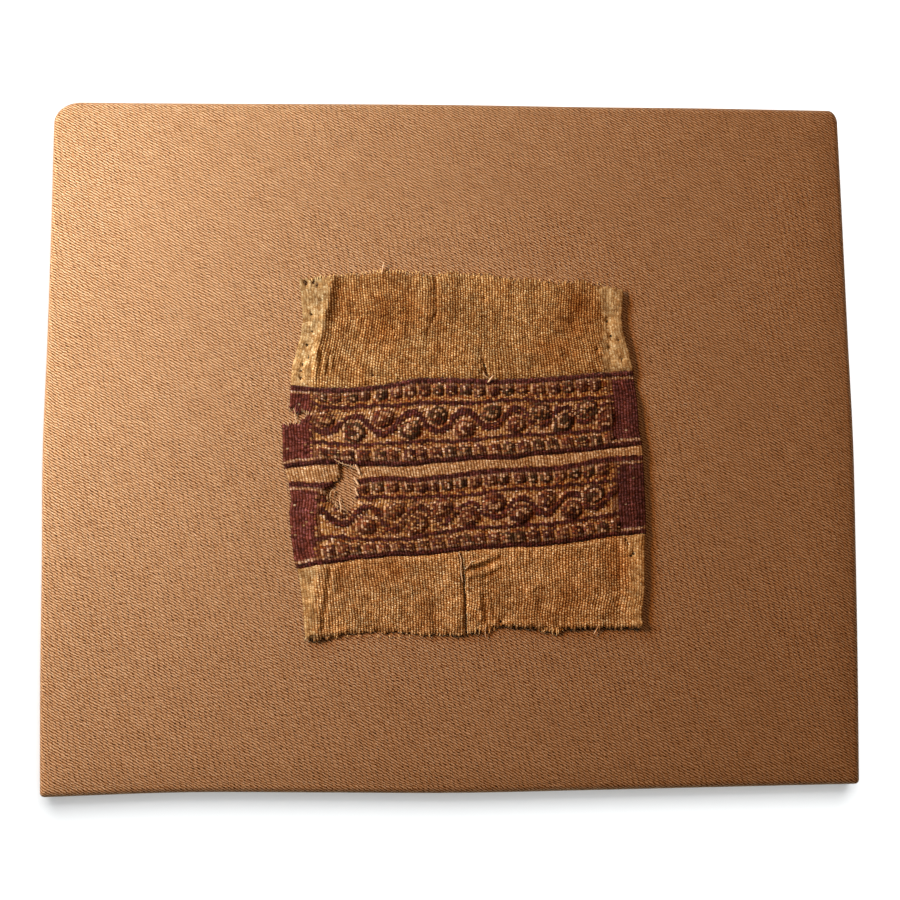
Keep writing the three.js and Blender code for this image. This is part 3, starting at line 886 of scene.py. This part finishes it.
def pearl_row(weave, row, below, seed, colour, relief):
    """Pearls side by side along a line, each a brown boss that is edged and hooked with pale thread."""
    rng = np.random.default_rng(seed)
    centre = np.linspace(row.first, row.last, row.count) + rng.uniform(-0.4, 0.4, row.count)
    rib_width = (weave.x[0, -1] - weave.x[0, 0]) / weave.strip.ribs
    centre = weave.x[0, 0] + rib_width * np.rint((centre - weave.x[0, 0]) / rib_width)
    half_width = rng.uniform(*PEARL_HALVES, row.count)
    olive = rng.uniform(0, 1, row.count) > 0.6
    depth = rng.uniform(0.75, 1.30, row.count)
    pale = rng.uniform(0.45, 1.0, row.count)
    opening = rng.uniform(-0.8, 1.4, row.count)
    x = weave.x[:1] + 0 * weave.x
    k = np.abs(x[..., None] - centre).argmin(-1)
    clear = weave.above + weave.below - LINE_FINE / 2
    middle = clear / 2 + (LINE_FINE / 2 if below else 0)
    dx = (x - centre[k]) / half_width[k]
    down = (weave.above - middle) / np.clip(clear / 2 - 0.55, 1.3, 2.4)
    relief = relief + PEARL_RISE * puff(square_reach(dx, down))
    dx, down, k = weave.at_middle(dx), weave.at_loose(down), weave.at_middle(k)
    q, lit = square_reach(dx, down), lit_side(dx, down)
    brown = np.where(olive[k][..., None], weave.mingled(22, OLIVE_YARNS), weave.mingled(22, PEARL_YARNS))
    body = q < 1.0
    # painted light and shade: a pearl's brown is brighter on its upper left, darker on its lower right
    brown = brown * (depth[k] * mix(SHADED, LIT, lit))[..., None]
    colour = draw_boss(weave, colour, brown, body, 0.95 * pale[k], weave.next_to(body, 0, 1), 0.5)
    angle = np.arctan2(-down, dx)
    hook = (np.abs(q - 0.42) < 0.18) & (np.abs(angle - opening[k]) > 1.2)
    colour = colour_over(colour, mix(RUST, PALE, 0.8), 0.9 * (hook & weave.some(24, 0.95 * pale[k])))
    return colour, relief


def stem_line(weave, band, seed):
    """How far each point is from the middle of the winding stem, and where its bends are."""
    turns = np.arange(-2, 14) / 2
    bends = band.first_bend + band.bend_pitch * turns - band.closing * turns * (turns - 1)
    phase = np.interp(weave.x, bends, turns)
    tall = weave.above + weave.below
    sway = 0.255 * tall * (1 + 0.18 * patches(weave.x, weave.x * 0, 12.0, seed))
    stem_at = 0.48 * tall - sway * np.cos(2 * np.pi * phase)
    stem_at = stem_at + 0.35 * patches(weave.x, weave.y, 4.0, seed + 5)
    slope = np.gradient(stem_at, axis=1) / np.maximum(np.gradient(weave.x, axis=1), 1e-3)
    return (weave.above - stem_at) / np.sqrt(1 + slope ** 2), zip(turns, bends)


def vine_scroll(weave, band, seed, colour, relief):
    """A winding stem with a roundel in each of its bends."""
    rng = np.random.default_rng(seed)
    away, bends = stem_line(weave, band, seed)
    thick = STEM_HALF * (1 + 0.25 * patches(weave.x, weave.y, 3.0, seed + 4))
    relief = relief + STEM_RISE * puff(away / (thick + 0.2))
    away, thick = np.abs(weave.at_loose(away)), weave.at_loose(thick)
    colour = colour_over(colour, PALE, 0.85 * ((away < thick + 0.55) & weave.some(25, 0.55)))
    colour = colour_over(colour, weave.mingled(26, STEM_YARNS), away < thick)
    for turn, x_bend in bends:
        high = (turn * 2) % 2 != 0
        radius = rng.uniform(*(HIGH_RADII if high else LOW_RADII))
        x_bend = x_bend + rng.uniform(-0.5, 0.5)
        olive, depth, opening = rng.uniform(0, 1), rng.uniform(0.8, 1.25), rng.uniform(-np.pi, np.pi)
        if not band.left + 2 < x_bend < band.right - 2:
            continue
        dx = (weave.x - x_bend) / radius
        down = (weave.above - (0.32 if high else 0.68) * (weave.above + weave.below)) / (0.93 * radius)
        brown = weave.mingled(22, OLIVE_YARNS if olive > 0.6 else PEARL_YARNS) * depth
        colour = draw_roundel(weave, dx, down, brown, opening, colour)
        relief = relief + ROUNDEL_RISE * puff(np.hypot(dx, down) / 0.95)
    return colour, np.minimum(relief, MOST_RELIEF)


def draw_roundel(weave, dx, down, brown, opening, colour):
    """A brown roundel with a pale rim, and a curl inside it."""
    dx, down = weave.at_loose(dx), weave.at_loose(down)
    q, lit = np.hypot(dx, down), lit_side(dx, down)
    body = q < 0.93
    shaded_side = weave.next_to(body, 1, 0) | weave.next_to(body, 0, 1)
    # painted light and shade: a roundel's brown is brighter on its upper left, darker on its lower right
    brown = brown * mix(SHADED, LIT, lit)[..., None]
    colour = draw_boss(weave, colour, brown, body, 0.9, shaded_side, 0.6)
    turned = np.mod(np.arctan2(down, dx) - opening + np.pi, 2 * np.pi) - np.pi
    curl = (np.abs(q - 0.42 - 0.05 * turned) < 0.16) & (np.abs(turned) < 2.2)
    return colour_over(colour, mix(RUST, PALE, 0.85), 0.9 * (curl & weave.some(30, 0.92)))


def band_colours(weave):
    """Colours and relief of a band: blocks at its two ends, and pearls and a vine between lines."""
    strip = weave.strip
    band = BANDS[strip.name]
    shape = weave.x.shape
    colour = np.zeros((*shape, 3)) + OCHRE
    relief = np.zeros(shape)
    for z, part in enumerate(strip.zones):
        if part.kind == "ribs":
            continue
        bumps = np.zeros(shape)
        if part.kind == "vine":
            ground = weave.mingled(29, VINE_GROUND_YARNS)
            drawn, bumps = vine_scroll(weave, band, strip.seed + 60, ground, bumps)
        else:
            ground = weave.mingled(29, GROUND_YARNS)
            row = band.pearls if part.kind == "pearls" else band.pearls_below
            below = part.kind == "pearls below"
            drawn, bumps = pearl_row(weave, row, below, strip.seed + 50 + z, ground, bumps)
        drawn = rub(weave, drawn)
        here = np.broadcast_to((weave.zone == z)[:, None], shape)
        colour = np.where(here[..., None], drawn, colour)
        relief = np.where(here, bumps, relief)
    return finish_band(weave, band, colour, relief)


def rub(weave, colour):
    """Wears a pattern: muddled patches, and stray beads of other colours."""
    worn = patch_share(WORN, weave.x, weave.y) + 0.04 + 0.20 * patches(weave.x, weave.y, 5.0, 36)
    muddled = weave.some(28, 0.75 * weave.at_middle(worn))
    colour = colour_over(colour, weave.mingled(27, MUDDLED_YARNS), 0.8 * muddled)
    return colour_over(colour, RED, 0.6 * weave.some(31, 0.02))


def finish_band(weave, band, colour, relief):
    """Draws the end blocks and the dark lines over the pattern."""
    name = weave.strip.name.split("_")[0]
    ragged = 0.3 * speckle(weave.bead, weave.rib * 0, 71)
    x = weave.at_middle(weave.x)
    in_block = np.maximum(smooth((band.left - x + ragged) / 0.3), smooth((x - band.right + ragged) / 0.3))
    between = (weave.y < weave.level(f"{name} top")) & (weave.y > weave.level(f"{name} foot"))
    colour, relief = draw_end_blocks(weave, band, in_block, between, colour, relief)
    colour, relief = draw_fine_lines(weave, name, in_block, colour, relief)
    for key, side in (("top", -1), ("foot", 1)):
        away = weave.at_middle(weave.y - weave.level(f"{name} {key}")) - side * (HALF_LINE + 0.45)
        pale = soft_band(away, 0.45, 0.3) * (0.30 + 0.60 * in_block)
        colour = colour_over(colour, PALE, pale * (0.8 + 0.4 * ragged))
    return draw_wide_lines(weave, colour, relief)


def draw_end_blocks(weave, band, in_block, between, colour, relief):
    """The purple blocks at a band's two ends, each with a brown line on its inner side."""
    x = weave.at_middle(weave.x)
    upright = 1 + 0.20 * speckle(weave.rib, weave.rib * 0, 73)
    end_tone = np.where((x < 0)[..., None], band.left_tone, band.right_tone)
    purple = weave.mingled(32, BLOCK_YARNS) * upright[..., None] * end_tone
    colour = np.where((between & (in_block > 0.5))[..., None], purple, colour)
    relief = np.where(between & (in_block > 0.3), 0.12, relief)
    inner_end = np.minimum(np.abs(x - band.left - 0.9), np.abs(x - band.right + 0.9))
    end_line = soft_band(inner_end, 0.6) * between * (in_block < 0.5)
    return colour_over(colour, PEARL_BROWN, 0.8 * end_line), relief


def draw_fine_lines(weave, name, in_block, colour, relief):
    """The dark lines between pearls and vine, which stop at the end blocks."""
    uneven = 0.25 * patches(weave.x, weave.x * 0, 3.0, 72)
    for key in ("upper", "lower"):
        away = weave.at_loose(weave.y - weave.level(f"{name} {key}") + uneven)
        line = soft_band(away, LINE_FINE / 2, 0.3) * (1 - in_block)
        colour = colour_over(colour, weave.mingled(33, LINE_YARNS), line)
        relief = relief * (1 - line) + 0.2 * line
    return colour, relief


def draw_wide_lines(weave, colour, relief):
    """The dark lines that edge the bands, from selvedge to selvedge."""
    for thread in ("first top", "first foot", "second top", "second foot"):
        line = soft_band(weave.at_middle(weave.y - weave.level(thread)), HALF_LINE, 0.25)
        colour = colour_over(colour, weave.mingled(33, LINE_YARNS), line)
        relief = relief * (1 - line) + 0.25 * line
    return colour, relief


# ---------- making a strip ----------


def kept_cells(weave):
    """Cells of the grid that are still cloth. Whole beads are torn away, but slits and pinholes cut
    through single cells."""
    x = weave.at_middle(weave.x)[:-1, :-1]
    y = weave.at_middle(weave.y)[:-1, :-1]
    rib, bead = weave.rib[:-1, :-1], weave.bead[:-1, :-1]
    frayed = 0.25 * speckle(rib, rib * 0, weave.strip.seed + 3) + 0.35 * patches(x, x * 0, 4.0, 43)
    nibble_x = 0.30 * speckle(rib, bead, weave.strip.seed + 4) + 0.35 * patches(x, y, 1.7, 41)
    nibble_y = 0.40 * speckle(rib, rib * 0, weave.strip.seed + 5) + 0.3 * patches(x, y, 2.1, 42)
    keep = (y < torn_at(TORN_TOP, x) + frayed) & (y > torn_at(TORN_BOTTOM, x) - frayed)
    for loss in LOSSES:
        keep &= ~inside(loss.outline, x + nibble_x, y + nibble_y)
    cell_x = 0.5 * (weave.x[:-1, :-1] + weave.x[1:, 1:])
    cell_y = 0.5 * (weave.y[:-1, :-1] + weave.y[1:, 1:])
    for slit in SLITS:
        keep &= ~inside(slit.outline, cell_x, cell_y)
    for hole in PINHOLES:
        keep &= np.hypot(cell_x - hole.x, cell_y - hole.y) > hole.radius
    return drop_crumbs(part_corners(keep))


def part_corners(keep):
    """Takes away cells that meet the rest only at a corner."""
    while True:
        a, b, c, d = keep[:-1, :-1], keep[:-1, 1:], keep[1:, :-1], keep[1:, 1:]
        falling = a & d & ~b & ~c
        rising = b & c & ~a & ~d
        if not (falling.any() or rising.any()):
            return keep
        keep = keep.copy()
        keep[:-1, :-1][falling] = False
        keep[:-1, 1:][rising] = False


def spread(labels):
    """Carries the largest label to the right along each unbroken run of cells."""
    labels = labels.copy()
    for k in range(1, labels.shape[1]):
        labels[:, k] = np.where(labels[:, k] > 0, np.maximum(labels[:, k], labels[:, k - 1]), 0)
    return labels


def drop_crumbs(keep):
    """Keeps only the largest joined area of cloth."""
    labels = np.where(keep, np.arange(keep.size).reshape(keep.shape) + 1, 0)
    before = np.zeros_like(labels)
    while (labels != before).any():
        before = labels
        for _ in range(4):                      # a quarter turn each, so that labels spread all four ways
            labels = np.rot90(spread(labels))
    names, counts = np.unique(labels[labels > 0], return_counts=True)
    return labels == names[counts.argmax()]


def steps_from_edge(keep, most):
    """For each point of the grid, how many cells it is from the edge of the cloth, up to most."""
    padded = np.pad(keep, 1)
    full = padded[:-1, :-1] & padded[:-1, 1:] & padded[1:, :-1] & padded[1:, 1:]
    steps = full.astype(float)
    for _ in range(most - 1):
        inner = np.pad(full, 1)
        full = full & inner[:-2, 1:-1] & inner[2:, 1:-1] & inner[1:-1, :-2] & inner[1:-1, 2:]
        steps += full
    return steps


def cloth_faces(keep):
    """Faces of a closed sheet over kept cells: fine on top, with walls, and in coarse blocks under it.
    Points are numbered first over the top grid and then over the back one."""
    rows, columns = keep.shape
    index = np.arange((rows + 1) * (columns + 1)).reshape(rows + 1, columns + 1)
    r, c = np.nonzero(keep)
    top = np.stack([index[r, c], index[r + 1, c], index[r + 1, c + 1], index[r, c + 1]], 1).tolist()
    padded = np.pad(keep, 1)
    walls = []
    wall_points = np.zeros(index.shape, bool)
    sides = (((-1, 0), (0, 1), (0, 0)), ((1, 0), (1, 0), (1, 1)),
             ((0, -1), (0, 0), (1, 0)), ((0, 1), (1, 1), (0, 1)))
    for (step_r, step_c), (from_r, from_c), (to_r, to_c) in sides:
        beyond = padded[1 + step_r:rows + 1 + step_r, 1 + step_c:columns + 1 + step_c]
        r, c = np.nonzero(keep & ~beyond)
        a, b = index[r + from_r, c + from_c], index[r + to_r, c + to_c]
        walls += np.stack([a, b, b + index.size, a + index.size], 1)[:, ::-1].tolist()
        wall_points[r + from_r, c + from_c] = wall_points[r + to_r, c + to_c] = True
    return top, walls, back_faces(keep, index + index.size, wall_points)


def back_faces(keep, under, needed):
    """Coarse faces for whole blocks of cells, and fine ones where a block is cut into. A coarse face
    takes up the points on its rim that its neighbours need."""
    rows, columns = keep.shape
    whole, fine = [], []
    for r0 in range(0, rows, BACK_BLOCK):
        for c0 in range(0, columns, BACK_BLOCK):
            r1, c1 = min(r0 + BACK_BLOCK, rows), min(c0 + BACK_BLOCK, columns)
            cells = keep[r0:r1, c0:c1]
            if cells.any():
                (whole if cells.all() else fine).append((r0, r1, c0, c1))
    needed = needed.copy()
    faces = []
    for r0, r1, c0, c1 in fine:
        r, c = np.nonzero(keep[r0:r1, c0:c1])
        r, c = r + r0, c + c0
        for dr, dc in ((0, 0), (0, 1), (1, 0), (1, 1)):
            needed[r + dr, c + dc] = True
        faces += np.stack([under[r, c], under[r, c + 1], under[r + 1, c + 1], under[r + 1, c]], 1).tolist()
    for r0, r1, c0, c1 in whole:
        needed[[r0, r0, r1, r1], [c0, c1, c0, c1]] = True
    for r0, r1, c0, c1 in whole:
        ring = [(r0, c) for c in range(c0, c1)] + [(r, c1) for r in range(r0, r1)]
        ring += [(r1, c) for c in range(c1, c0, -1)] + [(r, c0) for r in range(r1, r0, -1)]
        faces.append([int(under[p]) for p in ring if needed[p]])
    return faces


def plain_look(weave):
    """Colours and relief of a strip of plain cloth."""
    field = FIELD if weave.strip.name == "upper_field" else LOWER_FIELD
    colour = plain_colours(weave.at_middle(weave.x), weave.at_middle(weave.y), field)
    return colour, 0.10 * patches(weave.x, weave.y, 3.0, 51)


def settled(weave, from_side):
    """Where a strip's points lie once its threads wander and its ribs slip out of step."""
    strip = weave.strip
    shift_x, shift_y = wander(weave.x, weave.y)
    slipped = strip.slip * patches(weave.rib * 10.0, weave.y, 3.0, strip.seed + 60)
    slipped = slipped * smooth(np.minimum(weave.above, weave.below) / 1.5)
    x = weave.x + shift_x * smooth(from_side) + UNEVEN_X * weave.chance(9)
    return x, weave.y + shift_y + slipped + UNEVEN_Y * weave.chance(10)


def dyed_and_shaded(weave, colour, felt, x, y):
    """Colours with painted shade dark between ribs and beads, streaked down the ribs and mottled."""
    strip = weave.strip
    streak = 1 + 0.10 * speckle(weave.rib, weave.rib * 0, strip.seed + 7)
    mottled = 1 + strip.mottle * weave.chance(8) + 0.12 * felt * patches(x, y, 0.35, 54)
    gap_shade = GAP_SHADE if strip.name in BANDS else FIELD_GAP_SHADE
    # painted shade between the ribs and between the beads, less where the cloth is felted
    gap_painted_shade = mix(gap_shade, 1.0, mix(weave.crown, 1.0, 0.7 * felt))
    return colour * deepened(gap_painted_shade * streak * mottled)


def make_strip(strip, finish):
    """One strip of the fragment, from one cross thread to another."""
    weave = Weave(strip)
    colour, relief = band_colours(weave) if strip.name in BANDS else plain_look(weave)
    felt = strip.felted * border_share(weave.x, weave.y)
    keep = kept_cells(weave)
    from_side = np.minimum(weave.column, weave.column[:, ::-1]) / (3 * RIB_COLUMNS)
    x, y = settled(weave, from_side)
    uneven = 1 + 0.40 * weave.chance(6)
    inward = smooth(steps_from_edge(keep, FRAY_CELLS) / FRAY_CELLS)
    at_edge = np.where(from_side < 0.5, SELVEDGE_SHARE, TORN_SHARE)
    under = FACE_LEVEL + UNDER_GAP + lift(x, y)
    top = under + (BODY + relief) * mix(at_edge, 1.0, inward) + line_rise(CREASES, x, y, 2)
    top = top + strip.rib_height * weave.crown * uneven * (1 - 0.8 * felt) * mix(0.6, 1.0, inward)
    top = top + 0.10 * patches(x, y, 2.0, 52) + 0.10 * felt * patches(x, y, 0.5, 53)
    top = np.maximum(top, under + LEAST_THICKNESS)
    # the thread colours, with painted shade between ribs and beads
    dye = dyed_and_shaded(weave, colour, felt, x, y)
    return build_strip(strip, finish, keep, np.stack([x, y, top], -1), under, dye)


def build_strip(strip, finish, keep, surface, under, dye):
    """The mesh of a strip, with its colours."""
    top_faces, walls, back = cloth_faces(keep)
    faces = top_faces + walls + back
    lower = surface.copy()
    lower[..., 2] = under
    points = np.concatenate([surface.reshape(-1, 3), lower.reshape(-1, 3)])
    # painted shade: the underside and the foot of each wall are darker than the top
    colours = np.concatenate([dye.reshape(-1, 3), PAINTED_UNDER_SHADE * dye.reshape(-1, 3)])
    used = np.unique(np.concatenate([np.asarray(f) for f in faces]))
    number = np.full(len(points), -1)
    number[used] = np.arange(len(used))
    faces = [number[f].tolist() for f in faces]
    is_top = np.arange(len(faces)) < len(top_faces)
    piece = make_piece(strip.name, points[used], faces, finish, is_top)
    colours = np.column_stack([colours[used], np.ones(len(used))])
    keep_values(piece, "dye", "FLOAT_COLOR", colours)
    low, high = points[used].min(0), points[used].max(0)
    spots = (points[used][:, :2] - low[:2]) / (high - low)[:2]
    down = spots[:, 1]
    spots[:, 1] = np.where(used < len(points) // 2, TOP_SPAN * down, BACK_AT + BACK_SPAN * down)
    lay_out(piece, spots)
    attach(piece, "root")
    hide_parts("textile_fragment")
    return piece


# ---------- loose yarns ----------

WARP = wool(0.74, 0.52, 0.30)      # the bare warp, where the wool has come away
YARN_SIDES = 6
YARN_STEP = 0.35                   # length of one section of a yarn

# Each point is x, y and the height over where the cloth lies.
LooseYarn = namedtuple("LooseYarn", "name colour radius points")
LOOSE_YARNS = [LooseYarn(*row) for row in (
    ("across the notch", WARP, 0.24,
     [(-56.7, 11.6, 1.2), (-56.2, 10.2, 0.8), (-56.1, 8.4, 0.7), (-55.4, 6.2, 1.1)]),
    ("over the hole", WARP, 0.20,
     [(-42.4, -6.6, 1.2), (-39.6, -8.2, 1.0), (-36.8, -9.0, 0.9), (-34.2, -10.4, 1.1), (-33.0, -12.0, 1.3)]),
    ("loop in the hole", WARP, 0.20,
     [(-43.9, -20.6, 1.2), (-43.6, -18.4, 1.0), (-42.6, -17.4, 0.8), (-42.0, -18.8, 0.7)]),
    ("below the hole", WARP, 0.24,
     [(-40.6, -19.8, 0.5), (-40.4, -21.8, 0.8), (-40.0, -23.4, 1.2), (-40.2, -25.6, 1.6)]),
    ("upper lip", PALE, 0.36, [(-35.0, -8.6, 1.4), (-33.9, -10.2, 1.3), (-33.2, -12.4, 1.3)]),
    ("middle lip", PALE, 0.40, [(-35.4, -12.8, 1.2), (-34.6, -14.4, 1.2), (-33.6, -16.0, 1.4)]),
    ("lower lip", PALE, 0.34, [(-35.0, -16.8, 1.2), (-34.5, -18.4, 1.2), (-33.8, -19.8, 1.5)]),
    ("beside the slit", WARP, 0.24,
     [(1.3, -39.6, 1.6), (2.2, -42.6, 1.7), (2.1, -46.0, 1.5), (2.7, -50.4, 1.4)]),
    ("slanting, by the slit", WARP, 0.26, [(3.6, -45.6, 1.6), (4.8, -44.4, 1.9), (6.4, -42.0, 1.8)]),
    ("end by the slit", PALE, 0.22, [(10.8, -64.8, 1.2), (10.5, -67.2, 0.7), (10.7, -69.8, 0.4)]),
    ("end at the foot", PALE, 0.24, [(50.7, -64.6, 1.5), (49.9, -67.0, 1.0), (48.9, -68.9, 0.5)]),
    ("end at the head", PALE, 0.24, [(-25.4, 60.0, 1.5), (-25.0, 62.4, 1.3), (-24.5, 64.4, 1.0)]),
    ("over the first line", PALE, 0.36, [(14.4, 23.2, 1.8), (13.4, 22.0, 2.0), (12.2, 20.6, 1.8)]),
    ("beside the tear", WARP, 0.22, [(10.6, 24.8, 1.7), (11.2, 23.2, 1.8), (12.6, 22.4, 1.6)]),
)]

# Short warp ends that stand out of a torn edge, at even steps from one place to another.
Fray = namedtuple("Fray", "name colour x1 y1 x2 y2 count length radius")
FRAYS = [Fray(*row) for row in (
    ("upper lip of the notch", WARP, -58.6, 13.0, -51.4, 10.6, 11, -2.0, 0.17),
    ("lower lip of the notch", WARP, -60.0, 5.4, -53.6, 6.2, 9, 1.3, 0.15),
    ("head, left", FIELD, -50.0, 57.8, -28.0, 60.6, 16, 1.0, 0.18),
    ("head, middle", FIELD, -27.0, 60.8, -12.0, 60.2, 14, 1.3, 0.18),
    ("head, right", FIELD, -8.0, 59.6, 54.0, 56.4, 34, 1.0, 0.18),
    ("foot, left", LOWER_FIELD, -52.0, -68.6, 2.0, -68.0, 16, -1.2, 0.18),
    ("foot, by the slit", LOWER_FIELD, 5.2, -66.0, 14.0, -64.8, 6, -2.6, 0.18),
    ("tuft at the foot", LOWER_FIELD, 31.0, -66.2, 36.6, -67.0, 8, -2.4, 0.20),
    ("foot, right", LOWER_FIELD, 38.0, -66.0, 64.0, -65.6, 5, -1.3, 0.17),
    ("left of the hole", WARP, -46.4, -18.6, -41.0, -24.0, 7, 1.6, 0.15),
    ("above the hole", WARP, -41.6, -6.6, -35.6, -8.4, 6, -1.4, 0.15),
)]


def tube(path, radius):
    """Points and faces of a yarn along a path, drawn in to a tip at each end."""
    run = np.gradient(path, axis=0)
    run /= np.linalg.norm(run, axis=1)[:, None]
    side = np.cross(run, (0.3, 0.2, 1.0))
    side /= np.linalg.norm(side, axis=1)[:, None]
    other = np.cross(run, side)
    taper = radius * np.sqrt(np.clip(1.05 - np.abs(np.linspace(-1, 1, len(path))) ** 6, 0.05, 1))
    angle = 2 * np.pi * np.arange(YARN_SIDES) / YARN_SIDES
    round_it = np.cos(angle)[:, None] * side[:, None] + np.sin(angle)[:, None] * other[:, None]
    points = (path[:, None] + taper[:, None, None] * round_it).reshape(-1, 3)
    return points, skin_faces(len(path), YARN_SIDES, turned=True)


def yarn_path(points):
    """A smooth path through points given with their heights over where the cloth lies."""
    points = np.array(points)
    length = np.linalg.norm(np.diff(points, axis=0), axis=1).sum()
    share = np.linspace(0, 1, max(5, int(length / YARN_STEP) + 1))
    x, y, height = (along(points[:, axis], share) for axis in range(3))
    return np.column_stack([x, y, FACE_LEVEL + lift(x, y) + height])


def fray_yarns():
    """The short warp ends of all the torn edges."""
    rng = np.random.default_rng(90)
    yarns = []
    for fray in FRAYS:
        for step in np.linspace(0, 1, fray.count):
            x = mix(fray.x1, fray.x2, step) + rng.uniform(-0.3, 0.3)
            y = mix(fray.y1, fray.y2, step) + rng.uniform(-0.3, 0.3)
            length = fray.length * rng.uniform(0.4, 1.2)
            lean = rng.uniform(-0.5, 0.5)
            path = [(x, y - 0.25 * length, 0.75), (x + 0.3 * lean, y + 0.5 * length, 0.7)]
            path.append((x + lean, y + length, 0.3))
            yarns.append(LooseYarn(fray.name, fray.colour * rng.uniform(0.8, 1.2), fray.radius, path))
    return yarns


def make_loose_yarns(finish):
    """Broken and frayed yarns of the fragment, joined in one mesh."""
    points, faces, dyes, spots = [], [], [], []
    yarns = LOOSE_YARNS + fray_yarns()
    start = 0
    for k, yarn in enumerate(yarns):
        made, made_faces = tube(yarn_path(yarn.points), yarn.radius)
        points.append(made)
        faces += [[start + i for i in face] for face in made_faces]
        dyes.append(np.tile((*yarn.colour, 1.0), (len(made), 1)))
        number = np.arange(len(made))
        across = (k + 0.8 * (number % YARN_SIDES) / YARN_SIDES) / len(yarns)
        spots.append(np.column_stack([across, (number // YARN_SIDES) / (len(made) / YARN_SIDES)]))
        start += len(made)
    piece = make_piece("loose_yarns", np.concatenate(points), faces, finish)
    keep_values(piece, "dye", "FLOAT_COLOR", np.concatenate(dyes))
    lay_out(piece, np.concatenate(spots))
    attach(piece, "root")
    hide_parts("textile_fragment")
    return piece


# ---------- light, floor and camera ----------

Lamp = namedtuple("Lamp", "name place aim size power colour")
PART_LAMPS = [
    Lamp("near key", (-192, 136, 129), (110, 48, 12), (420, 70), 0.93, (0.76, 0.90, 1.0)),
    Lamp("far key", (-490, 195, 395), (0, 0, 12), (180, 120), 2.30, (1.0, 0.40, 0.05)),
    Lamp("fill", (220, 340, 610), (0, 0, 12), (600, 600), 1.18, (1.0, 0.53, 0.265)),
]
FLOOR_LAMPS = [
    Lamp("floor lamp", (0, 900, 1300), (0, -150, 0), (1500, 1100), 30.0, (1.0, 1.0, 1.0)),
    Lamp("floor fill", (0, -200, 2400), (0, 0, 0), (2500, 2500), 47.0, (0.94, 0.98, 1.0)),
]
ROOM_LIGHT = 0.02
FLOOR_REACH = 3000.0

CAMERA_PLACE = (-31.8, -56.5, 542.0)
CAMERA_FORWARD = (0.0571, 0.0998, -0.9934)
CAMERA_UP = (0.0017, 0.995, 0.1001)
CAMERA_LENS, CAMERA_SENSOR = 60.0, 36.0


def add_lamp(lamp, pieces):
    """A soft oblong lamp that lights only the given pieces."""
    data = bpy.data.lights.new(lamp.name, "AREA")
    data.shape = "RECTANGLE"
    data.size, data.size_y = (side * MM for side in lamp.size)
    data.energy = lamp.power
    data.color = lamp.colour
    stand = bpy.data.objects.new(lamp.name, data)
    stand.location = Vector(lamp.place) * MM
    stand.rotation_euler = (Vector(lamp.aim) - Vector(lamp.place)).to_track_quat("-Z", "Y").to_euler()
    bpy.context.scene.collection.objects.link(stand)
    group = bpy.data.collections.new(lamp.name + " lights")
    for piece in pieces:
        group.objects.link(piece)
    stand.light_linking.receiver_collection = group


def make_floor():
    corners = [(FLOOR_REACH * x, FLOOR_REACH * y, 0) for x, y in ((-1, -1), (1, -1), (1, 1), (-1, 1))]
    floor = make_piece("floor", corners, [(0, 1, 2, 3)], floor_finish())
    return floor


def light_scene(part, floor):
    for lamp in PART_LAMPS:
        add_lamp(lamp, part)
    for lamp in FLOOR_LAMPS:
        add_lamp(lamp, [floor])
    world = bpy.data.worlds.new("room")
    bpy.context.scene.world = world
    world.use_nodes = True
    background = world.node_tree.nodes["Background"].inputs
    background["Color"].default_value = (1, 1, 1, 1)
    background["Strength"].default_value = ROOM_LIGHT


def place_camera():
    data = bpy.data.cameras.new("camera")
    data.lens, data.sensor_width = CAMERA_LENS, CAMERA_SENSOR
    data.clip_end = 20.0
    camera = bpy.data.objects.new("camera", data)
    forward = Vector(CAMERA_FORWARD).normalized()
    right = forward.cross(Vector(CAMERA_UP)).normalized()
    turned = Matrix((right, right.cross(forward), -forward)).transposed().to_4x4()
    camera.matrix_world = Matrix.Translation(Vector(CAMERA_PLACE) * MM) @ turned
    bpy.context.scene.collection.objects.link(camera)
    bpy.context.scene.camera = camera


# ---------- the scene ----------

place_camera()
cover = make_cover()
thread = thread_finish("old thread", 0.15)
strips = [make_strip(strip, thread) for strip in STRIPS]
yarns = make_loose_yarns(thread)
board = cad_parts["mount_board"]
board.data.materials.clear()
board.data.materials.append(board_finish())
floor = make_floor()
light_scene([cover, board, yarns, *strips], floor)
bpy.context.scene.view_settings.view_transform = "Standard"
